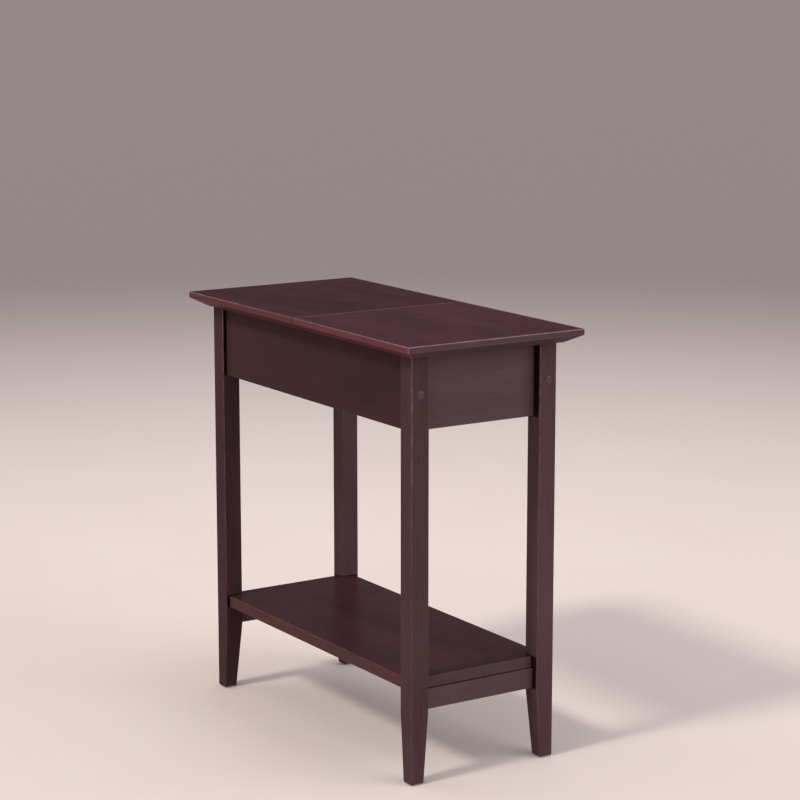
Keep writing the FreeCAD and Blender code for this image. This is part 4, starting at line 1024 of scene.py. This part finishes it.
def spring_path(side):
    """Tail, coil, arm and hook. The coil: (y, z) = pivot + radius × (cos a, sin a), and the depth
    falls evenly with the angle a."""
    way = np.array([math.cos(LINK_SLOPE), math.sin(LINK_SLOPE)])
    root = REAR_BASE + COIL * np.array([way[1], -way[0]])
    angle = np.linspace(0.12, FINISH - 0.05, 150)
    depth = np.interp(angle, [0, FINISH], [TAIL_U, ARM_U])
    circle = REAR_BASE + COIL * np.column_stack([np.cos(angle), np.sin(angle)])
    tail = [at(side, TAIL_U, (REAR_BASE[0] + COIL, z))
            for z in np.linspace(base_low[2], REAR_BASE[1] - 1.5, 12)]
    coil = [at(side, u, point) for u, point in zip(depth, circle)]
    arm = [at(side, ARM_U, root + way * s) for s in np.linspace(0.6, ARM - HOOK, 12)]
    hook = [at(side, ARM_U - HOOK * (1 - math.cos(a)), root + way * (ARM - HOOK * (1 - math.sin(a))))
            for a in np.linspace(0, np.pi / 2, 7)[1:]]
    end = [at(side, u, root + way * ARM) for u in np.linspace(ARM_U - HOOK - 0.3, LINK_U + 0.1, 5)]
    return np.array(tail + coil + arm + hook + end)


for name, side in SIDE_OF.items():
    piece = build(f"torsion_spring_{name}_wire", [sweep(spring_path(side), WIRE)], wire,
                  f"torsion_spring_{name}", rides=False)
    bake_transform(piece)
print("each spring has", made["torsion_spring_left_wire"], "faces")

# %% [markdown]
# ## Joinery that stays inside
#
# Bolts and dowels are buried in the wood. Their solids only take a finish, which is seen when the
# table is taken apart.

# %% Finishes for the parts that stay as they are
for node, material in (("leg_bolts", zinc), ("frame_dowels", beech), ("rail_dowels", beech)):
    slots = frame["nodes"][node].data.materials
    slots.clear()
    slots.append(material)
print("pieces made:", len(made), "with", sum(made.values()), "faces")

# %% [markdown]
# ## Floor and light
#
# The studio is a wide pale floor whose colour is painted darker in the distance, as a painted
# falloff of the light, which makes a calm grey backdrop without any wall. Of four soft suns, one
# from the upper left gives the shadows their direction, a wide one in front fills the near end, and
# two weak ones open the shadows. With a grey sky they light a surface at about the level of one, so
# that a colour looks the way it was written.

# %% Floor
FLOOR_R = 45.0      # metres
share = np.linspace(1, 0.02, 12) ** 2       # rings, further apart as they grow
circle = np.vstack([full_turn(96), np.zeros(96)]).T
points, quads, lids, _ = shell(FLOOR_R * share[:, None, None] * circle)
ground = bpy.data.meshes.new("studio_floor")
ground.from_pydata(points, [], quads.tolist() + [lids[1].tolist()])
pale_floor, shader, place = new_material("pale_floor", Specular_IOR_Level=0.1)
pale = mix_colours(noise(place, 2.5, 3.0), linear((226, 210, 203)), linear((232, 218, 212)))
# Painted falloff of light: the floor's colour darkens from 0.6 m to 5 m out.
far = place.node("ShaderNodeVectorMath", {0: place}, "Value", operation="LENGTH").step(0.6, 5.0)
plug(mix_colours(far, pale, linear((138, 128, 128))), shader, "Base Color")
plug((noise(place, 40.0) - 0.5) * 0.1 + 0.75, shader, "Roughness")
ground.materials.append(pale_floor)
add_object("studio_floor", ground)
print("floor:", len(ground.polygons), "faces")

# %% Lights
def lamp(name, place, energy, colour, softness):
    """Sunlight from the direction of a place, as soft as a disc that many degrees across."""
    light = add_object(name, bpy.data.lights.new(name, "SUN"))
    light.data.energy = energy
    light.data.color = colour
    light.data.angle = math.radians(softness)
    light.location = place
    light.rotation_euler = Vector(place).to_track_quat("Z", "Y").to_euler()


lamp("key_light", (-3.0, -0.15, 3.2), 1.4, (1.0, 0.96, 0.92), 9)
lamp("front_fill", (1.9, -3.0, 1.2), 1.62, (0.93, 1.0, 1.0), 60)
lamp("left_fill", (-3.0, -0.9, 0.7), 0.42, (1.0, 0.95, 0.92), 50)
lamp("back_fill", (-1.9, 2.4, 1.3), 0.35, (1.0, 0.97, 0.97), 40)
world = bpy.data.worlds.new("studio_sky")
world.use_nodes = True
height = add_node(world.node_tree, "ShaderNodeTexCoord", output="Generated").parts()[2]
sky = mix_colours(height.step(0.0, 0.8), linear((150, 142, 143)), linear((206, 204, 208)))
plug(sky, world.node_tree.nodes["Background"], "Color")
bpy.context.scene.world = world
bpy.context.scene.view_settings.view_transform = "Standard"
